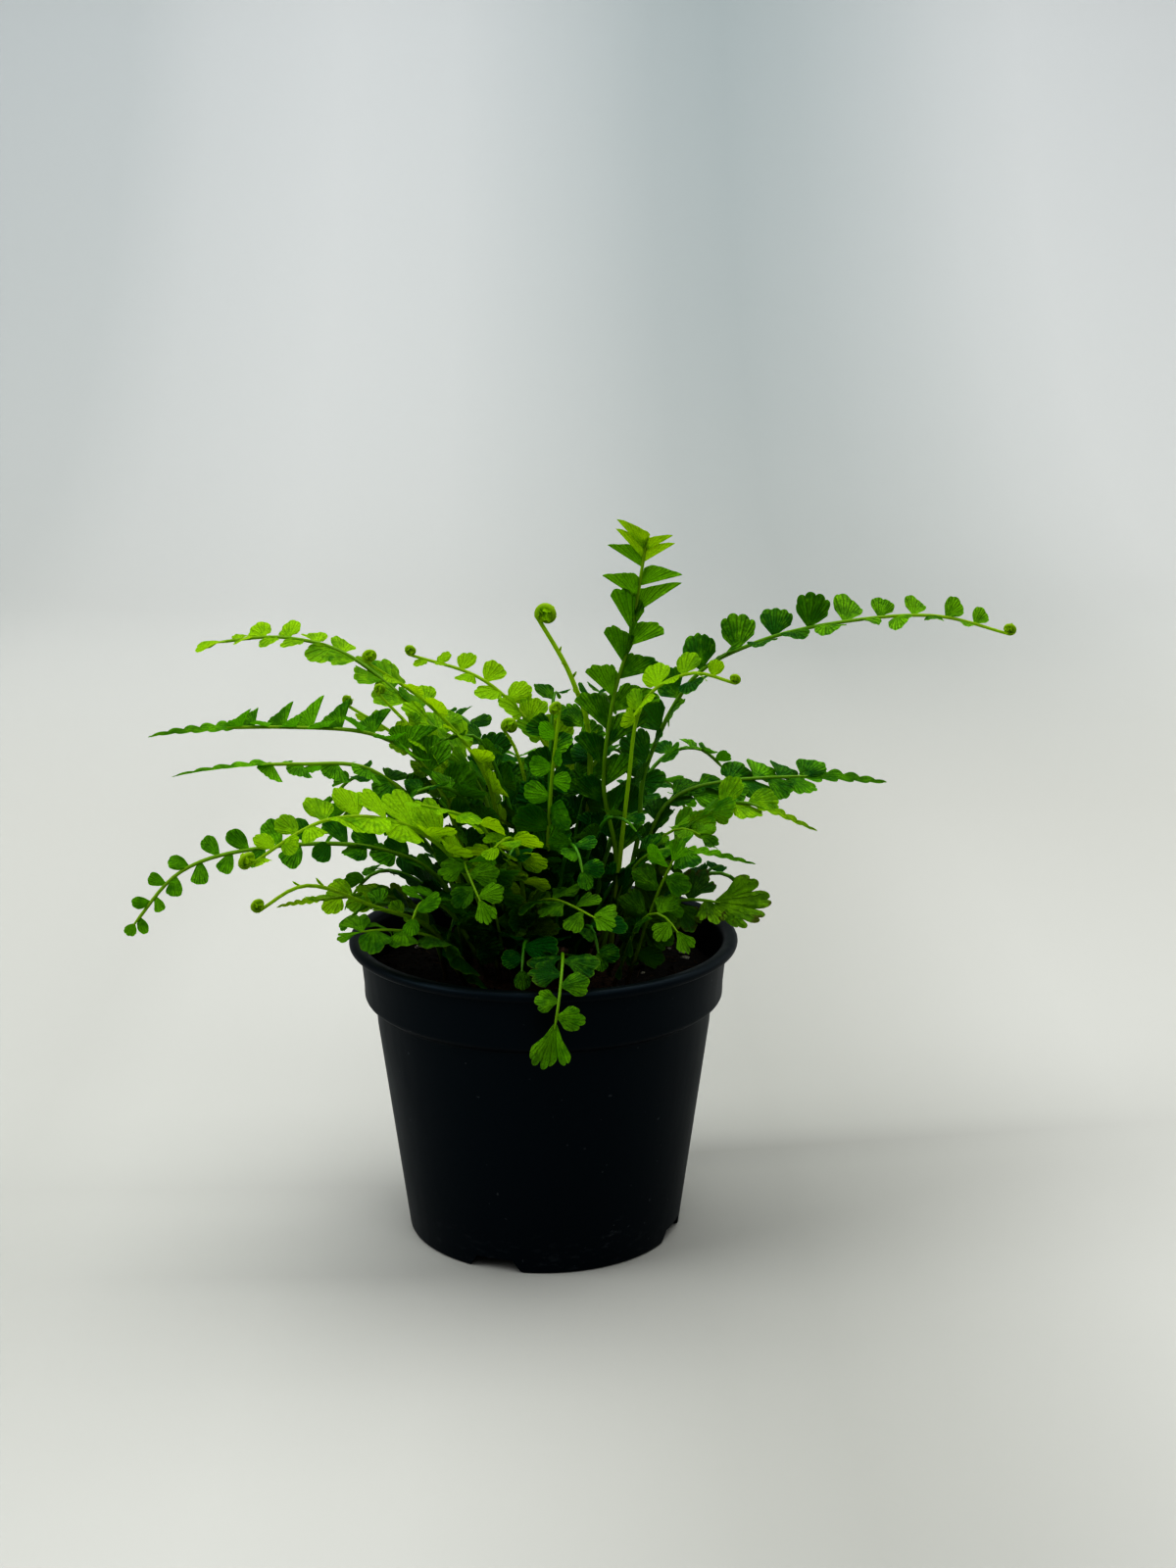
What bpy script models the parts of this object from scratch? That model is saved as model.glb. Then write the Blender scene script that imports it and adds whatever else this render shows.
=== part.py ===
"""Potted fern: a young fern in a 9 cm nursery pot filled with peat.

The pot, the soil and the crown are turned or cast shapes round the Z axis. Each frond is one solid: a
three-sided stem extruded along a smooth route, with leaflets extruded from its two upper sides. A
leaflet that would touch something already in place is made smaller, and the last resort is to leave it
out, so that every solid stands clear of its neighbours.

Lengths are in millimetres up to the point where a mesh is made, and in metres from there on.
"""

import math
from typing import NamedTuple

import bmesh
import bpy
from mathutils import Matrix, Vector
from mathutils.bvhtree import BVHTree

MM = 0.001
UP = Vector((0.0, 0.0, 1.0))

# Pot
POT_STEPS = 40
RIM_RADIUS = 45.0
RIM_HEIGHT = 71.0
BEAD = 1.2
COLLAR_TOP_RADIUS = 42.4
COLLAR_FOOT_RADIUS = 41.6
COLLAR_FOOT_HEIGHT = 57.2
BODY_TOP_RADIUS = 39.0
BODY_TOP_HEIGHT = 54.6
FOOT_RADIUS = 31.9
WALL = 1.1
FLOOR = 1.2
CHANNEL_OUTER = 29.4
CHANNEL_INNER = 23.6
CHANNEL_HEIGHT = 2.5
NOTCH_WIDTH = 10.5
NOTCH_HEIGHT = 2.5
NOTCH_COUNT = 4
FIRST_NOTCH_DEG = 249.0
DRAIN_WIDTH = 7.0
DRAIN_DEPTH = 2.6

# Soil and crown
GAP = 0.3
SOIL_TOP = 62.0
SOIL_DOME = 0.6
CROWN_RADIUS = 21.0
CROWN_TOP_RADIUS = 18.5
CROWN_BOTTOM = SOIL_TOP + SOIL_DOME + GAP
CROWN_TOP = 64.0
ROOT_ON_CROWN = 18.2
ROOT_LIFT = 0.8

# Fronds
STEM_RADIUS = 0.62
STEM_TIP_RADIUS = 0.34
STEM_STATION = 14.0
LEAFLET_THICKNESS = 0.45
LEAFLET_SEAT = 0.7
CROSIER_RADIUS = 1.7
CLEARANCE = 0.3
SHRINK_STEPS = (1.0, 0.8, 0.6)
PLAIN_LENGTH = 4.4


class Leafing(NamedTuple):
    """How a kind of frond carries its leaflets: sizes in mm, angles in degrees."""

    length: float
    width: float
    spacing: float
    fold: float
    sweep: float


class Frond(NamedTuple):
    """One frond: its root on the crown, the places its stem goes through, and its leafing."""

    name: str
    root: tuple
    route: tuple
    leafing: Leafing
    bare: float
    roll: float = 0.0
    heading: float = None
    crosier: bool = False


class Arch(NamedTuple):
    """A frond that leaves the crown at an azimuth, climbs, and bows over in one plane."""

    name: str
    azimuth: float
    root_radius: float
    height: float
    reach: float
    droop: float
    leafing: Leafing
    bare: float


MATURE = Leafing(length=9.2, width=7.0, spacing=9.4, fold=32.0, sweep=14.0)
ROUND = Leafing(length=8.0, width=6.8, spacing=8.4, fold=24.0, sweep=12.0)
LONG = Leafing(length=6.8, width=5.4, spacing=8.0, fold=36.0, sweep=20.0)
YOUNG = Leafing(length=5.6, width=5.0, spacing=7.4, fold=30.0, sweep=18.0)
LOBED = Leafing(length=7.4, width=6.4, spacing=7.6, fold=8.0, sweep=28.0)
BUD = Leafing(length=2.6, width=2.2, spacing=9.0, fold=20.0, sweep=30.0)

FRONDS = (
    Frond("frond_tall", (14, 3), ((17, 5, 86), (14, 4, 105), (16, 2, 125), (20, 0, 141), (23, -3, 161)),
          MATURE, 26.0, heading=90.0),
    Frond("frond_arching_right", (16, 8),
          ((22, 9, 90), (24, 9, 108), (34, 6, 129), (48, 4, 138), (66, 2, 143), (88, 0, 145), (106, -3, 141)),
          MATURE, 44.0, roll=34.0, crosier=True),
    Frond("frond_lime_right", (15, -6), ((19, -8, 106), (23, -13, 128), (36, -17, 136), (42, -18, 134)),
          YOUNG, 58.0, roll=24.0, crosier=True),
    Frond("crosier_stalk", (8, 10), ((12, 10, 110), (10, 12, 128), (3, 15, 141)), BUD, 58.0, crosier=True),
    Frond("crosier_small", (-1, 14), ((-3, 14, 96), (-6, 15, 110), (-10, 16, 117)), BUD, 36.0, crosier=True),
    Frond("frond_top_left", (-6, 8),
          ((-11, 10, 92), (-19, 14, 109), (-42, 22, 130), (-60, 25, 136), (-81, 28, 134)),
          MATURE, 34.0, roll=-34.0),
    Frond("frond_lime_left", (-7, 1), ((-10, 0, 95), (-14, -3, 111), (-24, -7, 125), (-36, -11, 136)),
          ROUND, 32.0, roll=-16.0, crosier=True),
    Frond("frond_upper_left", (3, 16), ((5, 19, 92), (2, 23, 108), (-13, 30, 124), (-33, 37, 130)),
          ROUND, 32.0, roll=-22.0, crosier=True),
    Frond("frond_mid_left", (-13, 4), ((-19, 4, 91), (-26, 4, 108), (-38, 4, 117), (-58, 4, 119), (-86, 2, 119)),
          LONG, 26.0, roll=-30.0),
    Frond("frond_mid_left_low", (-17, -1), ((-22, -5, 93), (-37, -12, 112), (-54, -16, 115), (-77, -20, 115)),
          LONG, 26.0, roll=-18.0),
    Frond("crosier_left", (-10, 12), ((-20, 16, 93), (-30, 22, 109), (-48, 32, 119)),
          YOUNG, 38.0, roll=-20.0, crosier=True),
    Frond("crosier_left_inner", (-12, 8), ((-15, 8, 93), (-24, 9, 110), (-39, 9, 127)),
          YOUNG, 46.0, roll=-20.0, crosier=True),
    Frond("frond_near_lime", (-10, -14), ((-16, -22, 89), (-28, -34, 105), (-45, -46, 110), (-62, -56, 103)),
          ROUND, 22.0, roll=-20.0, crosier=True),
    Frond("frond_far_left", (-17, -6),
          ((-23, -13, 87), (-38, -20, 97), (-60, -27, 99), (-78, -31, 95), (-90, -34, 82)),
          LONG, 22.0, roll=-12.0),
    Frond("crosier_low_left", (-18, -14), ((-25, -20, 78), (-37, -26, 85), (-50, -33, 92), (-59, -37, 90)),
          YOUNG, 14.0, roll=-14.0, crosier=True),
    Frond("frond_low_left", (-23, 2), ((-29, 2, 75), (-38, 0, 80), (-59, -6, 80)), YOUNG, 11.0, roll=-10.0),
    Frond("frond_pointed_right", (14, 11), ((23, 16, 83), (30, 20, 97), (46, 25, 101), (81, 38, 99)),
          LONG, 24.0, roll=20.0),
    Frond("frond_second_right", (17, 4), ((26, 4, 84), (34, 2, 96), (46, -1, 102), (59, -4, 96)),
          YOUNG, 18.0, roll=12.0),
    Frond("frond_low_right", (12, -9), ((18, -9, 84), (26, -13, 94), (44, -20, 94)), LOBED, 14.0, roll=14.0),
    Frond("frond_lobed_right", (15, -10), ((22, -12, 77), (32, -15, 83), (48, -20, 82)), LOBED, 9.0, roll=24.0),
    Frond("frond_soil_right", (16, -16), ((21, -19, 78), (26, -23, 82), (32, -28, 76)), LOBED, 8.0, roll=30.0),
    Frond("frond_front_bright", (-2, -12), ((-4, -18, 80), (2, -24, 86), (14, -37, 84)), LOBED, 12.0, roll=24.0),
    Frond("frond_over_rim", (3, -17), ((4, -30, 75), (4, -42, 77), (3, -50, 70), (1, -51, 58)), LOBED, 10.0),
    Frond("frond_tip_right", (11, -1), ((21, -2, 86), (30, -6, 97), (39, -10, 95)), LOBED, 16.0, roll=10.0),
    Frond("frond_upright_right", (19, -14), ((25, -18, 84), (30, -24, 98)), LOBED, 9.0, heading=60.0),
    Frond("frond_row_left", (-7, -9), ((-10, -18, 90), (-14, -27, 104), (-28, -39, 112)), ROUND, 16.0),
    Frond("frond_bright_mid", (-3, -8), ((-5, -20, 91), (-7, -28, 101), (-12, -37, 100)), ROUND, 14.0),
    Frond("frond_droop_mid", (-8, -15), ((-12, -24, 88), (-17, -33, 97), (-12, -44, 88)), LOBED, 12.0),
    Frond("frond_rim_left", (-13, -19), ((-22, -24, 76), (-33, -27, 80), (-44, -30, 80)), LOBED, 8.0),
    Frond("frond_front_left", (-13, -12), ((-20, -23, 82), (-26, -32, 88), (-29, -40, 84)), ROUND, 12.0),
    Frond("frond_upright_mid", (1, -5), ((1, -8, 90), (1, -10, 109), (1, -12, 127)), ROUND, 24.0, heading=95.0),
)

ARCHES = (
    Arch("frond_back_1", 38.0, 14.0, 46.0, 44.0, 8.0, ROUND, 20.0),
    Arch("frond_back_2", 56.0, 17.0, 34.0, 50.0, 12.0, ROUND, 16.0),
    Arch("frond_back_3", 68.0, 12.0, 58.0, 36.0, 6.0, MATURE, 26.0),
    Arch("frond_back_4", 97.0, 17.0, 38.0, 52.0, 14.0, ROUND, 16.0),
    Arch("frond_back_5", 119.0, 12.0, 52.0, 46.0, 8.0, MATURE, 22.0),
    Arch("frond_back_6", 143.0, 23.0, 32.0, 44.0, 12.0, ROUND, 12.0),
    Arch("frond_back_7", 158.0, 17.5, 42.0, 40.0, 10.0, ROUND, 18.0),
    Arch("frond_inner_1", 50.0, 8.0, 48.0, 24.0, 4.0, ROUND, 22.0),
    Arch("frond_inner_2", 80.0, 5.0, 62.0, 18.0, 2.0, MATURE, 26.0),
    Arch("frond_inner_3", 205.0, 5.0, 46.0, 34.0, 8.0, ROUND, 20.0),
    Arch("frond_inner_4", 251.0, 2.0, 34.0, 26.0, 6.0, ROUND, 16.0),
    Arch("frond_inner_5", 285.0, 9.0, 36.0, 26.0, 6.0, ROUND, 14.0),
    Arch("frond_inner_6", 318.0, 8.0, 40.0, 22.0, 4.0, MATURE, 16.0),
    Arch("frond_inner_7", 185.0, 3.0, 56.0, 22.0, 2.0, MATURE, 24.0),
    Arch("frond_low_1", 12.0, 23.0, 20.0, 28.0, 8.0, ROUND, 8.0),
    Arch("frond_low_2", 82.0, 23.0, 18.0, 26.0, 6.0, ROUND, 8.0),
    Arch("frond_low_3", 126.0, 23.0, 16.0, 26.0, 8.0, ROUND, 8.0),
    Arch("frond_low_4", 172.0, 17.0, 22.0, 30.0, 8.0, ROUND, 8.0),
    Arch("frond_low_5", 196.0, 23.5, 19.0, 24.0, 4.0, ROUND, 6.0),
    Arch("frond_low_6", 222.0, 14.0, 20.0, 15.0, 6.0, MATURE, 8.0),
    Arch("frond_low_7", 262.0, 16.0, 15.0, 20.0, 7.0, ROUND, 6.0),
    Arch("frond_low_8", 291.0, 17.0, 18.0, 18.0, 7.0, ROUND, 6.0),
    Arch("frond_low_9", 345.0, 10.0, 28.0, 24.0, 6.0, MATURE, 10.0),
)


class Route:
    """A smooth line through points, measured by the distance along it."""

    STEPS = 14

    def __init__(self, points):
        places = [Vector(point) for point in points]
        before = places[0] * 2 - places[1]
        after = places[-1] * 2 - places[-2]
        held = [before, *places, after]
        self.line = [places[0]]
        for a, b, c, d in zip(held, held[1:], held[2:], held[3:]):
            for step in range(1, self.STEPS + 1):
                self.line.append(self.between(a, b, c, d, step / self.STEPS))
        self.marks = [0.0]
        for start, end in zip(self.line, self.line[1:]):
            self.marks.append(self.marks[-1] + (end - start).length)
        self.length = self.marks[-1]

    @staticmethod
    def between(a, b, c, d, t):
        """The Catmull-Rom curve's place at t between b and c."""
        return 0.5 * (2 * b + (c - a) * t + (2 * a - 5 * b + 4 * c - d) * t**2 + (3 * (b - c) + d - a) * t**3)

    def at(self, distance):
        """The place and the direction at a distance along the line."""
        distance = min(max(distance, 0.0), self.length)
        span = 0
        while span < len(self.line) - 2 and self.marks[span + 1] < distance:
            span += 1
        start, end = self.line[span], self.line[span + 1]
        part = (distance - self.marks[span]) / (self.marks[span + 1] - self.marks[span])
        return start.lerp(end, part), (end - start).normalized()


def root_place(x, y):
    """Where a stem starts: just above the crown or, outside it, just above the soil."""
    on_crown = math.hypot(x, y) <= ROOT_ON_CROWN
    return x, y, (CROWN_TOP if on_crown else SOIL_TOP + SOIL_DOME) + ROOT_LIFT


def frond_of(arch):
    """The frond that an arch stands for, with the points of its route worked out."""
    azimuth = math.radians(arch.azimuth)

    def place(distance, height):
        return distance * math.cos(azimuth), distance * math.sin(azimuth), SOIL_TOP + height

    root = arch.root_radius
    route = (
        place(root + 0.12 * arch.reach, 0.55 * arch.height),
        place(root + 0.45 * arch.reach, 0.95 * arch.height),
        place(root + 0.75 * arch.reach, arch.height),
        place(root + arch.reach, arch.height - arch.droop),
    )
    return Frond(arch.name, place(root, 0.0)[:2], route, arch.leafing, arch.bare)


def size_along(part):
    """How large a leaflet is, against the largest, at a part of the leafy stretch from 0 to 1."""
    return min(0.78 + 0.9 * part, 1.0) * (1.0 - 0.6 * part**1.7)


class Blade:
    """The stem's frame at one place: along it, to its side, and out of its upper face."""

    def __init__(self, frond, route, distance):
        self.place, self.along = route.at(distance)
        if frond.heading is None:
            outward = route.line[-1] - route.line[0]
        else:
            outward = Vector((math.cos(math.radians(frond.heading)), math.sin(math.radians(frond.heading)), 0.0))
        outward.z = 0.0
        side = outward.cross(UP)
        side = (side - side.dot(self.along) * self.along).normalized()
        self.side = Matrix.Rotation(math.radians(frond.roll), 3, self.along) @ side
        self.normal = self.side.cross(self.along)

    def corners(self, half_side, half_normal):
        """The stem's three corners: its crest, then its two lower edges."""
        return (
            self.place + self.normal * half_normal,
            self.place - self.normal * 0.5 * half_normal - self.side * half_side,
            self.place - self.normal * 0.5 * half_normal + self.side * half_side,
        )


class Leaflet:
    """One leaflet's place and size: it widens from its seat on the stem, then narrows to a blunt end."""

    def __init__(self, blade, leafing, hand, scale):
        fold, sweep = math.radians(leafing.fold), math.radians(leafing.sweep)
        out = blade.side * hand * math.cos(fold) + blade.normal * math.sin(fold)
        self.out = out * math.cos(sweep) + blade.along * math.sin(sweep)
        self.across = blade.along * math.cos(sweep) - out * math.sin(sweep)
        self.face = (self.across.cross(self.out) * hand).normalized()
        if self.face.dot(blade.normal) < 0:
            self.face.negate()
        self.start = blade.place
        self.length = leafing.length * scale
        self.width = leafing.width * scale
        self.shift = self.across * 0.10 * self.width

    def stages(self):
        """(centre, half width) of the leaflet's widest place and of its end, which are one on a small leaflet."""
        end = self.start + self.out * self.length + self.shift
        if self.length < PLAIN_LENGTH:
            yield end, 0.34 * self.width
            return
        yield self.start + self.out * self.length * 0.6 + self.shift, 0.5 * self.width
        yield end, 0.24 * self.width

    def envelope(self):
        """A tree of the faces that bound the leaflet with its clearance, from its seat outwards."""
        rings = [(self.start + self.out * (LEAFLET_SEAT + 0.8), 0.6), *self.stages()]
        thick = 0.5 * LEAFLET_THICKNESS + CLEARANCE
        points, faces = [], []
        for centre, half_width in rings:
            wide = self.across * (half_width + CLEARANCE)
            high = self.face * thick
            points += [centre - wide - high, centre + wide - high, centre + wide + high, centre - wide + high]
        for ring in range(len(rings) - 1):
            for corner in range(4):
                after = (corner + 1) % 4
                first = ring * 4
                faces.append((first + corner, first + after, first + 4 + after, first + 4 + corner))
        last = len(points) - 4
        faces += [(0, 1, 2, 3), (last, last + 1, last + 2, last + 3)]
        return BVHTree.FromPolygons(points, faces)


def stem_radius(part):
    """The stem's half thickness at a part of its length from 0 to 1."""
    return STEM_RADIUS + (STEM_TIP_RADIUS - STEM_RADIUS) * part


def leaf_places(frond, route):
    """(distance along the stem, leaflet size) of each pair."""
    end = route.length - (5.0 if frond.crosier else 3.0)
    distance = frond.bare
    while distance < end:
        size = size_along((distance - frond.bare) / (end - frond.bare))
        yield distance, size
        distance += frond.leafing.spacing * (0.42 + 0.58 * size)


def stations(frond, route, seats):
    """(distance, half side, half thickness) of each section of the stem, from root to tip."""
    found = [(0.0, None)]
    plain = STEM_STATION
    while plain < frond.bare - 4.0:
        found.append((plain, None))
        plain += STEM_STATION
    for distance, _ in seats:
        found += [(distance - LEAFLET_SEAT, None), (distance + LEAFLET_SEAT, None)]
    end = route.length
    if frond.crosier:
        found += [(end - 3.2, 0.5), (end - 2.4, CROSIER_RADIUS), (end - 0.8, CROSIER_RADIUS), (end, 0.6)]
    else:
        found += [(end - 1.6, 1.1), (end, 0.3)]
    for distance, radius in found:
        plain_radius = stem_radius(distance / end)
        wide = radius or plain_radius
        yield distance, wide, wide if frond.crosier else min(wide, plain_radius)


def stem_tree(frond, route):
    """A tree of the stem's faces with its clearance."""
    points, faces = [], []
    sections = list(stations(frond, route, list(leaf_places(frond, route))))
    for distance, half_side, half_normal in sections:
        points += Blade(frond, route, distance).corners(half_side + 1.7 * CLEARANCE, half_normal + 1.7 * CLEARANCE)
    for first in range(0, len(points) - 3, 3):
        for corner in range(3):
            after = (corner + 1) % 3
            faces.append((first + corner, first + after, first + 3 + after, first + 3 + corner))
    faces += [(0, 1, 2), (len(points) - 3, len(points) - 2, len(points) - 1)]
    return BVHTree.FromPolygons(points, faces)


def move_corners(face, reference, corners):
    """Puts each vertex of a freshly extruded face at the corner that its old place stood for."""
    for vertex in face.verts:
        nearest = min(range(len(reference)), key=lambda i: (vertex.co - reference[i]).length)
        vertex.co = corners[nearest]


def extrude(mesh, face):
    """The cap of a face extruded on the spot."""
    return bmesh.ops.extrude_discrete_faces(mesh, faces=[face])["faces"][0]


def grow_leaflet(mesh, face, leaflet, blade):
    """Extrudes a leaflet from one of the stem's upper side faces."""
    centre = face.calc_center_median()
    signs = [
        (math.copysign(1.0, (vertex.co - centre).dot(blade.along)),
         math.copysign(1.0, (vertex.co - centre).dot(leaflet.face)))
        for vertex in face.verts
    ]
    reference = [vertex.co.copy() for vertex in face.verts]
    for middle, half_width in leaflet.stages():
        face = extrude(mesh, face)
        corners = [
            middle + leaflet.across * along * half_width + leaflet.face * high * 0.5 * LEAFLET_THICKNESS
            for along, high in signs
        ]
        move_corners(face, reference, corners)
        reference = corners


def build_frond(frond, route, kept):
    """The frond's mesh: the stem first, and then each leaflet that has room."""
    mesh = bmesh.new()
    seats = list(leaf_places(frond, route))
    sections = list(stations(frond, route, seats))
    first = Blade(frond, route, 0.0).corners(*sections[0][1:])
    bottom = mesh.faces.new([mesh.verts.new(corner) for corner in first])
    top = extrude(mesh, bottom)
    reference = first
    for distance, half_side, half_normal in sections[1:]:
        corners = Blade(frond, route, distance).corners(half_side, half_normal)
        move_corners(top, reference, corners)
        reference = corners
        if distance != sections[-1][0]:
            top = extrude(mesh, top)
    mesh.faces.new([min(mesh.verts, key=lambda v: (v.co - corner).length) for corner in first])
    bmesh.ops.recalc_face_normals(mesh, faces=mesh.faces[:])
    for leaflet, blade, hand in kept:
        middle = blade.place + (blade.side * hand + blade.normal) * 0.25
        face = min(
            (f for f in mesh.faces if len(f.verts) == 4 and f.normal.dot(blade.side * hand + 0.4 * blade.normal) > 0.7),
            key=lambda f: (f.calc_center_median() - middle).length,
        )
        grow_leaflet(mesh, face, leaflet, blade)
    bmesh.ops.recalc_face_normals(mesh, faces=mesh.faces[:])
    bmesh.ops.scale(mesh, vec=Vector((MM, MM, MM)), verts=mesh.verts[:])
    return mesh


def roomy_leaflets(frond, route, obstacles):
    """The leaflets of a frond that clear the obstacles, each as large as fits; they become obstacles too."""
    kept = []
    own = []
    for distance, size in leaf_places(frond, route):
        blade = Blade(frond, route, distance)
        for hand in (-1, 1):
            for shrink in SHRINK_STEPS:
                leaflet = Leaflet(blade, frond.leafing, hand, size * shrink)
                envelope = leaflet.envelope()
                if not any(envelope.overlap(tree) for tree in obstacles + own):
                    kept.append((leaflet, blade, hand))
                    own.append(envelope)
                    break
    obstacles += own
    return kept


def material(name, color, roughness):
    """A plain Principled material."""
    made = bpy.data.materials.new(name)
    made.use_nodes = True
    shader = made.node_tree.nodes["Principled BSDF"]
    shader.inputs["Base Color"].default_value = (*color, 1.0)
    shader.inputs["Roughness"].default_value = roughness
    shader.inputs["Metallic"].default_value = 0.0
    return made


def add_object(name, mesh, collection, finish=None):
    """A new object from a bmesh, which is freed."""
    data = bpy.data.meshes.new(name)
    mesh.to_mesh(data)
    mesh.free()
    made = bpy.data.objects.new(name, data)
    collection.objects.link(made)
    if finish is not None:
        data.materials.append(finish)
    return made


def turned(name, profile, collection, finish):
    """A solid turned round Z from (radius, height) points: it starts on the axis and ends on it."""
    mesh = bmesh.new()
    corners = [mesh.verts.new((radius * MM, 0.0, height * MM)) for radius, height in profile]
    for start, end in zip(corners, corners[1:]):
        mesh.edges.new((start, end))
    made = add_object(name, mesh, collection, finish)
    screw = made.modifiers.new("turn", "SCREW")
    screw.steps = screw.render_steps = POT_STEPS
    screw.use_merge_vertices = True
    screw.merge_threshold = 0.00005
    screw.use_smooth_shade = True
    return made


def arc(centre_radius, centre_height, radius, start_deg, end_deg, count):
    """Points of a round stretch of a turned profile."""
    for step in range(count + 1):
        angle = math.radians(start_deg + (end_deg - start_deg) * step / count)
        yield centre_radius + radius * math.cos(angle), centre_height + radius * math.sin(angle)


def pot_profile():
    """Up the inside from the floor's middle, over the rim bead, and down the outside to the underside."""
    inner_channel = CHANNEL_INNER - WALL
    yield 0.0, FLOOR
    yield inner_channel - 0.6, FLOOR
    yield inner_channel, CHANNEL_HEIGHT + FLOOR
    yield FOOT_RADIUS - WALL + 0.4, CHANNEL_HEIGHT + FLOOR
    yield BODY_TOP_RADIUS - WALL, BODY_TOP_HEIGHT + 0.6
    yield COLLAR_FOOT_RADIUS - WALL, COLLAR_FOOT_HEIGHT + 0.8
    yield COLLAR_TOP_RADIUS - WALL, RIM_HEIGHT - 2.0
    yield COLLAR_TOP_RADIUS - 0.4, RIM_HEIGHT - 0.4
    yield from arc(RIM_RADIUS - BEAD, RIM_HEIGHT - BEAD, BEAD, 90.0, -90.0, 5)
    yield COLLAR_TOP_RADIUS, RIM_HEIGHT - 2 * BEAD - 0.2
    yield COLLAR_FOOT_RADIUS, COLLAR_FOOT_HEIGHT
    yield COLLAR_FOOT_RADIUS - 0.6, COLLAR_FOOT_HEIGHT - 1.0
    yield BODY_TOP_RADIUS + 0.5, BODY_TOP_HEIGHT + 0.5
    yield BODY_TOP_RADIUS, BODY_TOP_HEIGHT
    yield FOOT_RADIUS + 0.1, 1.0
    yield FOOT_RADIUS - 0.7, 0.0
    yield CHANNEL_OUTER, 0.0
    yield CHANNEL_OUTER, CHANNEL_HEIGHT
    yield CHANNEL_INNER, CHANNEL_HEIGHT
    yield CHANNEL_INNER - 0.6, 0.0
    yield 0.0, 0.0


def add_cutter(name, size, top_shrink, place, azimuth, collection):
    """A block, narrower at its top across its width, standing at a distance from Z at an azimuth."""
    mesh = bmesh.new()
    bmesh.ops.create_cube(mesh, size=1.0)
    for vertex in mesh.verts:
        vertex.co.y *= top_shrink if vertex.co.z > 0 else 1.0
    bmesh.ops.scale(mesh, vec=Vector(size) * MM, verts=mesh.verts[:])
    bmesh.ops.translate(mesh, vec=Vector(place) * MM, verts=mesh.verts[:])
    cutter = add_object(name, mesh, collection)
    cutter.rotation_euler.z = azimuth
    cutter.hide_render = True
    cutter.display_type = "WIRE"
    return cutter


def build_pot(collection, cutters):
    """The pot, with its foot notched and a drain slot in the channel behind each notch."""
    pot = turned("pot", list(pot_profile()), collection, material("pot_plastic", (0.018, 0.02, 0.026), 0.42))
    depth = FOOT_RADIUS - CHANNEL_OUTER + 3.0
    for index in range(NOTCH_COUNT):
        azimuth = math.radians(FIRST_NOTCH_DEG + index * 360.0 / NOTCH_COUNT)
        notch_height = NOTCH_HEIGHT + 1.0
        drain_place = CHANNEL_OUTER - 0.6 - 0.5 * DRAIN_DEPTH
        blocks = (
            ("notch", (depth, NOTCH_WIDTH, notch_height), 0.78,
             (0.5 * (FOOT_RADIUS + CHANNEL_OUTER) + 0.6, 0.0, 0.5 * notch_height - 1.0)),
            ("drain", (DRAIN_DEPTH, DRAIN_WIDTH, 4.0), 1.0, (drain_place, 0.0, CHANNEL_HEIGHT + 0.5)),
        )
        for kind, size, shrink, place in blocks:
            cut = pot.modifiers.new(f"{kind}_{index}", "BOOLEAN")
            cut.operation = "DIFFERENCE"
            cut.solver = "EXACT"
            cut.object = add_cutter(f"{kind}_cutter_{index}", size, shrink, place, azimuth, cutters)
    return pot


def build_soil(collection):
    """The peat: it fills the pot with a small gap all round and is slightly domed."""
    floor = CHANNEL_HEIGHT + FLOOR + GAP
    body_radius = BODY_TOP_RADIUS - WALL - 1.4 * GAP
    slope = (BODY_TOP_RADIUS - FOOT_RADIUS) / BODY_TOP_HEIGHT
    profile = (
        (0.0, SOIL_TOP + SOIL_DOME),
        (0.55 * BODY_TOP_RADIUS, SOIL_TOP + SOIL_DOME - 0.1),
        (COLLAR_FOOT_RADIUS - WALL - GAP, SOIL_TOP - 0.4),
        (COLLAR_FOOT_RADIUS - WALL - 1.4 * GAP, COLLAR_FOOT_HEIGHT + 1.2),
        (body_radius, BODY_TOP_HEIGHT + 1.0),
        (body_radius - slope * (BODY_TOP_HEIGHT - floor), floor),
        (CHANNEL_INNER - WALL - 2 * GAP, floor),
        (CHANNEL_INNER - WALL - 4 * GAP, FLOOR + GAP),
        (0.0, FLOOR + GAP),
    )
    return turned("soil", profile, collection, material("peat", (0.02, 0.013, 0.009), 0.95))


def build_crown(collection):
    """The clump that the fronds grow from: a low mound with a wavy edge."""
    mesh = bmesh.new()
    height = CROWN_TOP - CROWN_BOTTOM
    bmesh.ops.create_cone(
        mesh, cap_ends=True, segments=24, radius1=CROWN_RADIUS, radius2=CROWN_TOP_RADIUS + 0.3, depth=height
    )
    for vertex in mesh.verts:
        angle = math.atan2(vertex.co.y, vertex.co.x)
        wave = 0.5 * math.sin(3 * angle) + 0.3 * math.sin(7 * angle + 1.0)
        vertex.co.xy *= 1.0 + 0.03 * wave
        vertex.co.z += 0.5 * (CROWN_TOP + CROWN_BOTTOM)
    bmesh.ops.scale(mesh, vec=Vector((MM, MM, MM)), verts=mesh.verts[:])
    return add_object("crown", mesh, collection, material("crown_scales", (0.09, 0.05, 0.025), 0.9))


def tree_in_mm(made):
    """A tree of an object's evaluated faces, in millimetres."""
    graph = bpy.context.evaluated_depsgraph_get()
    mesh = bmesh.new()
    mesh.from_object(made, graph)
    bmesh.ops.scale(mesh, vec=Vector((1 / MM, 1 / MM, 1 / MM)), verts=mesh.verts[:])
    tree = BVHTree.FromBMesh(mesh)
    mesh.free()
    return tree


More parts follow.
